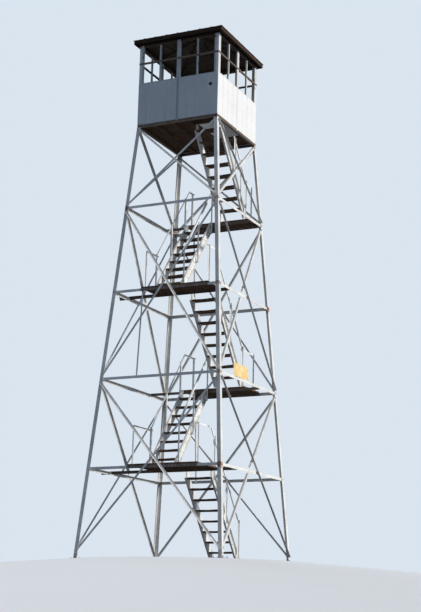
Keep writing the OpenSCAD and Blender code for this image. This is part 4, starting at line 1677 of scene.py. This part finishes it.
@dataclass(frozen=True)
class Landings:
    """Four landings of short planks, alternately at the front and the back."""

    planks: int = 12
    plank_gap: float = 0.006
    wear: float = 0.002
    bolt_in: float = 0.035
    sunk: float = 0.001

    def planking(self, side: str, rings: tuple[int, int], seed: int) -> Array:
        """Builds the planks of two landings in place of a CAD node, which gives their ends.

        Args:
            side: name of the side where the landings lie.
            rings: the rings of the two landings.
            seed: seed of the planks' small differences.

        Returns:
            Places of the bolts, array (n, 3).
        """
        node = f"{side}_landing_decks"
        corners = node_corners(node)
        lows, highs = [], []
        for ring in rings:
            level = corners[np.abs(corners[:, 2] - ring * PLAN.bay) < PLAN.bay / 4]
            low, high = level.min(0), level.max(0)
            pitch = (high[0] - low[0] + self.plank_gap) / self.planks
            x = low[0] + np.arange(self.planks) * pitch
            lows.append(stacked(x, *low[1:]))
            highs.append(stacked(x + pitch - self.plank_gap, *high[1:]))
        low, high = np.concatenate(lows), np.concatenate(highs)
        planks = SawnBoards(1, seed, self.wear).surface(low, high)
        make_piece(f"{side}_landing_planks", planks, Coat.STEP, node,
                   Shading.SMOOTH)
        middle = (low[:, 0] + high[:, 0]) / 2
        ends = (low[:, 1] + self.bolt_in, high[:, 1] - self.bolt_in)
        return np.concatenate([stacked(middle, y, high[:, 2] - self.sunk) for y in ends])

    def build(self) -> None:
        """Builds the planks, their bolts and the steel under them."""
        places = np.concatenate([
            self.planking("front", (1, 3), 31),
            self.planking("back", (2, 4), 32),
        ])
        make_piece("plank_bolts", Fastener.CARRIAGE_HEAD.at(places, UP), Coat.BOLT)
        dress(Coat.SILL, "landing_beams")
        dress(Coat.RAIL_WITH_PAINTED_LIGHT, "landing_hangers")


@dataclass(frozen=True)
class Handrails:
    """Angle rails and newels of the flights and the landings, bolted together."""

    rail_x: float = 0.3506
    rail_h: float = 0.86
    rail_w: float = 0.038
    rail_t: float = 0.004
    newel_in: float = 0.022
    rail_on: float = 0.03
    landing_y: float = 0.72
    bolt_in: float = 0.012

    def flight_bolts(self, number: int, hand: int) -> tuple[Array, Array]:
        """Bolts of one flight's rail: one at the head of each of its three newels.

        Args:
            number: number of the flight.
            hand: -1 for its left rail, 1 for its right one.

        Returns:
            Their places and their directions, in the frame.
        """
        foot = -self.landing_y + self.newel_in
        top_y = 0.0 if number == PLAN.bays else self.landing_y
        head = top_y - self.newel_in - self.rail_w
        y = np.array([foot, (foot + head) / 2, head])
        top = (y + PLAN.stair_y) * PLAN.stair_slope + self.rail_h
        face = hand * (self.rail_x + self.rail_t)
        place = flight_place(number)
        origins = place.points(stacked(face, y + self.bolt_in, top - self.bolt_in))
        return origins, np.broadcast_to(place.directions(stacked(hand, 0.0, 0.0)), origins.shape)

    def end_bolts(self, ring: int, hand: int) -> tuple[Array, Array]:
        """The bolt of a landing's level rail, at the post by the girt.

        Args:
            ring: the landing's ring.
            hand: -1 for its left rail, 1 for its right one.

        Returns:
            Its place and its direction, in the frame.
        """
        facing = -1.0 if ring % 2 == 1 else 1.0
        level = (2 * PLAN.stair_y + self.rail_on) * PLAN.stair_slope - PLAN.bay + self.rail_h
        reach = PLAN.half_at(ring * PLAN.bay + level) - PLAN.leg_t - 2 * PLAN.brace_w
        centre = PLAN.stair_back_x if hand < 0 else PLAN.stair_front_x
        origin = [centre + hand * (self.rail_x + self.rail_t), facing * (reach - self.rail_w / 2),
                  ring * PLAN.bay + PLAN.deck_rise + level - self.rail_w / 2]
        return np.array([origin]), np.array([[float(hand), 0.0, 0.0]])

    def build(self) -> None:
        """Dresses the rails and adds their bolts."""
        dress(Coat.RAIL_WITH_PAINTED_LIGHT, "stair_rails")
        rows = [self.flight_bolts(n, -1) for n in range(1, PLAN.bays + 1)]
        rows += [self.flight_bolts(n, 1) for n in range(2, PLAN.bays + 1, 2)]
        rows += [self.end_bolts(ring, hand) for ring in range(1, PLAN.bays) for hand in (-1, 1)]
        origins, axes = map(np.concatenate, zip(*rows))
        make_piece("rail_bolts", Fastener.CARRIAGE_HEAD.at(origins, axes), Coat.BOLT)


@dataclass(frozen=True)
class SignBoard:
    """The bare sign plate over a girt of the right side, bolted to two flat straps."""

    ring: int = 2
    low: float = -0.80
    width: float = 0.75
    height: float = 0.31
    lift: float = 0.01
    strap_w: float = 0.03
    strap_t: float = 0.004
    strap_r: float = 0.0012
    sheet_t: float = 0.0015
    dish: float = 0.004
    bolt_in: float = 0.05

    def board(self, base: float, depth: float) -> Surface:
        """The plate: it stands out by dish * s^4 * t^2 towards its corners, s and t from -1 to 1.

        Args:
            base: height of its lower edge up the side.
            depth: depth of its back face.

        Returns:
            The plate, in the side's plane.
        """
        s, t = np.meshgrid(np.linspace(-1, 1, 31), np.linspace(-1, 1, 17), indexing="ij")
        x = self.low + self.width * (s + 1) / 2
        y = depth - self.sheet_t - self.dish * s**4 * t**2
        outer = stacked(x, y, base + self.height * (t + 1) / 2)
        return shell(outer, outer + [0.0, self.sheet_t, 0.0])

    def strap(self, x: float, foot: float, top: float) -> Surface:
        """A flat strap with rounded edges.

        Args:
            x: its middle along the side.
            foot: its foot up the side.
            top: its head.

        Returns:
            The strap, in the side's plane.
        """
        outline = rounded_outline(self.strap_w, self.strap_t, self.strap_r, 2, 1)
        middle = PLAN.leg_t - self.strap_t / 2
        u = np.array([[foot], [top]])
        points = stacked(x + outline[:, 0], middle - outline[:, 1], u).reshape(-1, 3)
        return Surface(points, [block[:, ::-1] for block in tube_faces(2, len(outline))])

    def build(self) -> None:
        """Builds the plate, its straps and its bolts in place of the CAD node."""
        girt = self.ring * PLAN.bay * PLAN.stretch
        base = girt + self.lift
        back = PLAN.leg_t - self.strap_t - PLAN.seat
        place = leaning_side(RIGHT)
        make_piece("sign_board", self.board(base, back).moved(place), Coat.SIGN,
                   "sign_plate", Shading.SMOOTH)
        half = self.strap_w / 2
        middles = (self.low + 3 * half, self.low + self.width - 3 * half)
        foot, top = girt - PLAN.girt_w / 2, base + self.height - self.strap_w
        straps = joined([self.strap(x, foot, top) for x in middles])
        make_piece("sign_straps", straps.moved(place), Coat.LEG)
        x, z = spread(middles, [base + self.bolt_in, top - self.bolt_in]).T
        bolts = Fastener.HEX_BOLT.at(place.points(stacked(x, back - self.sheet_t, z)),
                                     place.directions(OUTWARDS))
        make_piece("sign_bolts", bolts, Coat.BOLT)


# The cab


@dataclass(frozen=True)
class CabWalls:
    """Thin painted sheets with upright crimps, slightly buckled, over the cab's lower half.

    Attributes:
        sheet_t: thickness of a sheet.
        crimp_h: how far a crimp stands out.
        crimp_w: half its width.
        crimps: number of crimps of a sheet.
        lap: how far the sheets reach below the floor.
        buckle: how far a sheet may buckle.
        strip_w: width of the strip over a seam.
        strip_out: how far it stands off the most buckled sheet.
        bend: how far its edges are bent back.
        grimy_shaded_sides: the sides whose strip is darker, with dirt and painted shade.
        screw_x: places of the screws along a side: at the corners, beside the crimps and at
            the seam.
        screw_out: how far their seats stand off the posts' faces.
    """

    sheet_t: float = 0.0012
    crimp_h: float = 0.0035
    crimp_w: float = 0.009
    crimps: int = 3
    lap: float = 0.03
    buckle: float = 0.0025
    strip_w: float = 0.06
    strip_out: float = 0.002
    bend: float = 0.001
    grimy_shaded_sides: tuple[int, ...] = (FRONT, BACK)
    screw_x: tuple[float, ...] = (
        -1.03, -0.78, -0.51, -0.245, -0.03, 0.03, 0.285, 0.55, 0.82, 1.03,
    )
    screw_out: float = 0.003

    def half_wall(self, side: int, low: float, high: float) -> Surface:
        """One sheet of a wall.

        It stands out by crimp_h * exp(-((x - c) / crimp_w)^2) at each crimp c, and between
        them it buckles outwards by buckle * (1 + sin a)(1 + sin b) / 4, where a and b run
        along and up the wall.

        Args:
            side: number of the side.
            low: where the sheet begins along the side.
            high: where it ends.

        Returns:
            The sheet, with the mark fold.
        """
        places = np.linspace(low, high, self.crimps + 2)[1:-1]
        near = (places[:, None] + np.linspace(-2.4, 2.4, 13) * self.crimp_w).ravel()
        x = np.unique(np.round(np.concatenate([np.linspace(low, high, 25), near]), 5))
        z = np.linspace(-self.lap, PLAN.sill_h, 19)
        gx, gz = np.meshgrid(x, z, indexing="ij")
        crimp = np.exp(-(((gx[..., None] - places) / self.crimp_w) ** 2)).max(-1)
        wave = (1 + np.sin(9.1 * gx + 2.1 * side)) * (1 + np.sin(6.3 * gz + 1.3 * side)) / 4
        back = -PLAN.seat - self.crimp_h * crimp - self.buckle * wave * (1 - crimp)
        inner = stacked(gx, back, gz)
        return shell(inner + self.sheet_t * OUTWARDS, inner, crimp).moved(cab_side(side))

    def seam_strip(self, side: int) -> Surface:
        """The flat strip over a wall's seam, with its long edges bent back.

        Its face falls by bend * |s|^8, where s runs from -1 to 1 across it.

        Args:
            side: number of the side.

        Returns:
            The strip.
        """
        z = np.linspace(-self.lap, PLAN.sill_h, 9)
        s, gz = np.meshgrid(np.linspace(-1, 1, 15), z, indexing="ij")
        stand = self.buckle + 2 * self.sheet_t + self.strip_out - self.bend * np.abs(s) ** 8
        outer = stacked(s * self.strip_w / 2, -PLAN.seat - stand, gz)
        return shell(outer, outer - self.sheet_t * OUTWARDS).moved(cab_side(side))

    def build(self) -> None:
        """Builds the sheets, the strips and their screws."""
        x, z = spread(self.screw_x, np.linspace(0.02, PLAN.sill_h - 0.03, 5)).T
        seats = stacked(x, -self.screw_out, z)
        screws = []
        for side, name in enumerate(SIDE_NAMES):
            reach = PLAN.cab_half + (PLAN.seat + self.sheet_t if side % 2 == 0 else 0.0)
            wall = joined([
                self.half_wall(side, -reach, -PLAN.seat),
                self.half_wall(side, PLAN.seat, reach),
            ])
            make_piece(f"{name}_crimped_wall", wall, Coat.WALL,
                       f"{name}_wall_sheets", Shading.SMOOTH)
            # darker strips on the front and back: dirt and painted shade
            strip = Coat.GRIMY_SHADED_SEAM if side in self.grimy_shaded_sides else Coat.SEAM
            make_piece(f"{name}_seam_strip", self.seam_strip(side), strip)
            place = cab_side(side)
            screws.append(
                Fastener.SHEET_SCREW.at(place.points(seats), place.directions(OUTWARDS))
            )
        make_piece("wall_screws", joined(screws), Coat.BOLT)


@dataclass(frozen=True)
class CabFrame:
    """Sill frame, floor, posts and windows of the cab."""

    wear: float = 0.001
    seed: int = 50
    sash_arris: float = 0.004

    def floor(self) -> None:
        """Builds the floor boards, those of one width together."""
        node = "cab_floor_boards"
        lows, highs = board_boxes(node)
        widths = np.round(highs[:, 1] - lows[:, 1], 4)
        alike = [widths == width for width in np.unique(widths)]
        parts = [SawnBoards(0, self.seed + n, self.wear).surface(lows[these], highs[these])
                 for n, these in enumerate(alike)]
        make_piece("cab_worn_floor", joined(parts), Coat.FLOOR, node,
                   Shading.SMOOTH)

    def build(self) -> None:
        """Dresses the cab's own frame, builds its floor and softens the window timbers."""
        dress(Coat.POST, "cab_posts")
        dress(Coat.SILL, "cab_sill_frame")
        self.floor()
        dress(Coat.JOIST, "cab_floor_joists")
        for name in SIDE_NAMES:
            softened(f"{name}_window_frame", f"{name}_sash", Coat.WINDOW,
                     self.sash_arris)


@dataclass(frozen=True)
class Roof:
    """Low pyramid roof: dark timbers below, rusty ribbed sheets above."""

    rib_step: float = 0.3
    ribs: int = 3
    rib_top: float = 0.0326
    cap_top: float = 0.0229
    cap_w: float = 0.09
    screw_v: tuple[float, ...] = (0.06, 0.27, 0.48, 0.69, 0.90, 1.11)
    apex_half: float = 0.115
    apex_hole: float = 0.004
    apex_t: float = 0.0015

    @property
    def stretch(self) -> float:
        """Length up a slope for each metre of its run."""
        return math.hypot(1.0, PLAN.roof_slope)

    def screws(self) -> Array:
        """Screws of one slope: along its ribs, and along the middle of each hip cap.

        A rib at distance x from the slope's middle ends where the caps begin, and a cap's
        middle lies half a cap's width inside the hip, which draws in by 1 / stretch a metre.

        Returns:
            Their places, array (n, 3).
        """
        half = PLAN.roof_half
        x, v = spread(np.arange(-self.ribs, self.ribs + 1) * self.rib_step, self.screw_v).T
        limit = (half * self.stretch - self.cap_w) * (1 - np.abs(x) / (half - self.cap_w))
        on_rib = stacked(x, v, self.rib_top)[v < limit - 0.03]
        hand, v = spread([-1, 1], self.screw_v[:-1]).T
        inside = half - v / self.stretch - self.cap_w / 2
        return np.concatenate([on_rib, stacked(hand * inside, v, self.cap_top)])

    def apex_cap(self) -> Surface:
        """A thin pyramid over the point where the hip caps meet.

        At half width h it lies at eave_h + slope * (half - h) + stand * stretch, where stand
        is its height square to the slopes. Its profile runs down its inner face and back up
        its outer one, and is turned in four steps with its corners on the hips.

        Returns:
            The cap.
        """
        h = np.array([self.apex_hole, self.apex_half, self.apex_half, self.apex_hole])
        stand = self.cap_top + PLAN.seat + self.apex_t * np.array([0.0, 0.0, 1.0, 1.0])
        rise = PLAN.roof_slope * (PLAN.roof_half - h) + stand * self.stretch
        profile = stacked(h * math.sqrt(2), PLAN.tower_h + PLAN.eave_h + rise)
        return revolved(profile, 4).moved(Placement(turn_z(math.pi / 4), np.zeros(3)))

    def build(self) -> None:
        """Dresses the roof and adds its screws and the cap on its top."""
        dress(Coat.EAVES, "eave_timbers")
        dress(Coat.RAFTER, "roof_rafters")
        dress(Coat.CEILING, "roof_boards")
        dress(Coat.ROOF, "roof_sheets")
        places = [roof_side(side) for side in SIDES]
        screws = [Fastener.SHEET_SCREW.at(place.points(self.screws()), place.directions(UP))
                  for place in places]
        make_piece("roof_screws", joined(screws), Coat.FOOT)
        make_piece("roof_apex_cap", self.apex_cap(), Coat.ROOF)


# The studio


@dataclass(frozen=True)
class Studio:
    """Pale floor, sky and lamps round the tower, none of it part of the object.

    floor and sky are what the camera sees, floor_light and sky_light what lights the tower.
    """

    pad: float = 2.8
    ease: float = 0.12
    fall: float = 0.09
    reach: float = 90.0
    floor: Triple = (0.76, 0.77, 0.78)
    floor_light: Triple = (0.10, 0.10, 0.10)
    sky: Triple = (0.70, 0.78, 0.87)
    sky_light: Triple = (0.09, 0.14, 0.215)
    sun_from: Triple = (0.86, 0.02, 0.52)
    sun_power: float = 3.6
    fill_from: Triple = (-0.70, 0.62, 0.35)
    fill_power: float = 0.9

    def floor_material(self) -> Material:
        """The ground's material, pale to the camera and darker to the light.

        Returns:
            The material.
        """
        material = bpy.data.materials.new("studio_floor")
        material.use_nodes = True
        shader = material.node_tree.nodes["Principled BSDF"]
        shader.inputs["Roughness"].default_value = 0.9
        w = Wiring(material.node_tree)
        soft = w.use(EFFECTS.patches, Vector=w.coordinates(), Scale=0.35, Edge=0.3, Level=0.5)
        pale = w.blend(soft["Mask"], toned(self.floor, 0.97), self.floor)
        seen = w.made("ShaderNodeLightPath", {}, "Is Camera Ray")
        w.feed(shader.inputs["Base Color"], w.blend(seen, self.floor_light, pale))
        return material

    def ground(self) -> None:
        """Round ground: level to the pad, then falling by fall * p^2 / (p + ease) at p past it."""
        near, far = np.linspace(0.02, self.pad, 12), np.geomspace(0.02, self.reach, 60)
        radius = np.concatenate([near, self.pad + far])
        past = np.maximum(radius - self.pad, 0.0)
        disc = revolved(stacked(radius, -self.fall * past**2 / (past + self.ease)), 96)
        wall, middle, _ = disc.faces
        mesh = bpy.data.meshes.new("ground")
        faces = wall[:, ::-1].tolist() + middle[:, ::-1].tolist()
        mesh.from_pydata(disc.points.tolist(), [], faces)
        mesh.shade_smooth()
        mesh.materials.append(self.floor_material())
        ground = bpy.data.objects.new("ground", mesh)
        bpy.context.scene.collection.objects.link(ground)

    def lamp(
        self, name: str, comes_from: Triple, power: float, width: float, colour: Triple
    ) -> None:
        """Adds a distant lamp.

        Args:
            name: its name.
            comes_from: direction that its light comes from.
            power: its strength.
            width: its width in degrees, which softens the shadows.
            colour: its colour.
        """
        data = bpy.data.lights.new(name, "SUN")
        data.energy = power
        data.angle = math.radians(width)
        data.color = colour
        lamp = bpy.data.objects.new(name, data)
        lamp.rotation_euler = Vector(comes_from).to_track_quat("Z", "Y").to_euler()
        bpy.context.scene.collection.objects.link(lamp)

    def light(self) -> None:
        """A key lamp from the right, a weak one from behind, and a sky."""
        self.lamp("key", self.sun_from, self.sun_power, 6.0, (1.0, 0.965, 0.91))
        self.lamp("fill", self.fill_from, self.fill_power, 30.0, (0.93, 0.96, 1.0))
        world = bpy.data.worlds.new("studio")
        world.use_nodes = True
        bpy.context.scene.world = world
        w = Wiring(world.node_tree)
        w.tree.nodes.clear()
        path = w.outputs(w.add("ShaderNodeLightPath"))
        seen = path["Is Camera Ray"].most(path["Is Glossy Ray"]).most(path["Is Transmission Ray"])
        colour = w.blend(seen, self.sky_light, self.sky)
        back = w.made("ShaderNodeBackground", {"Color": colour})
        w.feed(w.add("ShaderNodeOutputWorld").inputs["Surface"], back)

    def build(self) -> None:
        """Builds the ground and the lights."""
        self.ground()
        self.light()
        bpy.context.scene.view_settings.view_transform = "Standard"


@dataclass(frozen=True)
class PhotoCamera:
    """The photograph's standpoint, looking at the middle of the tower with a longer lens."""

    stand: Triple = (14.12, -26.69, -1.29)
    aim: Triple = (2.6, 1.4, 4.1)
    roll: float = math.radians(0.641)
    lens: float = 76.0
    sensor: float = 36.0
    shift: tuple[float, float] = (-0.17, 0.14)

    def build(self) -> None:
        """Makes the camera the scene's own."""
        data = bpy.data.cameras.new("photo_camera")
        data.lens, data.sensor_width = self.lens, self.sensor
        data.shift_x, data.shift_y = self.shift
        data.clip_end = 500.0
        camera = bpy.data.objects.new("photo_camera", data)
        sight = Vector(self.aim) - Vector(self.stand)
        turn = sight.to_track_quat("-Z", "Y").to_matrix() @ Matrix.Rotation(self.roll, 3, "Z")
        camera.matrix_world = Matrix.Translation(self.stand) @ turn.to_4x4()
        bpy.context.scene.collection.objects.link(camera)
        bpy.context.scene.camera = camera


def main() -> None:
    """Builds the tower's looks part by part, then the studio."""
    logging.basicConfig(level=logging.INFO, format="%(name)s: %(message)s")
    PhotoCamera().build()
    for part in (LatticeFrame, Feet, StairFlights, Landings, Handrails, SignBoard, CabWalls,
                 CabFrame, Roof, Studio):
        log.info("building %s", part.__name__)
        part().build()


if __name__ == "__main__":
    main()
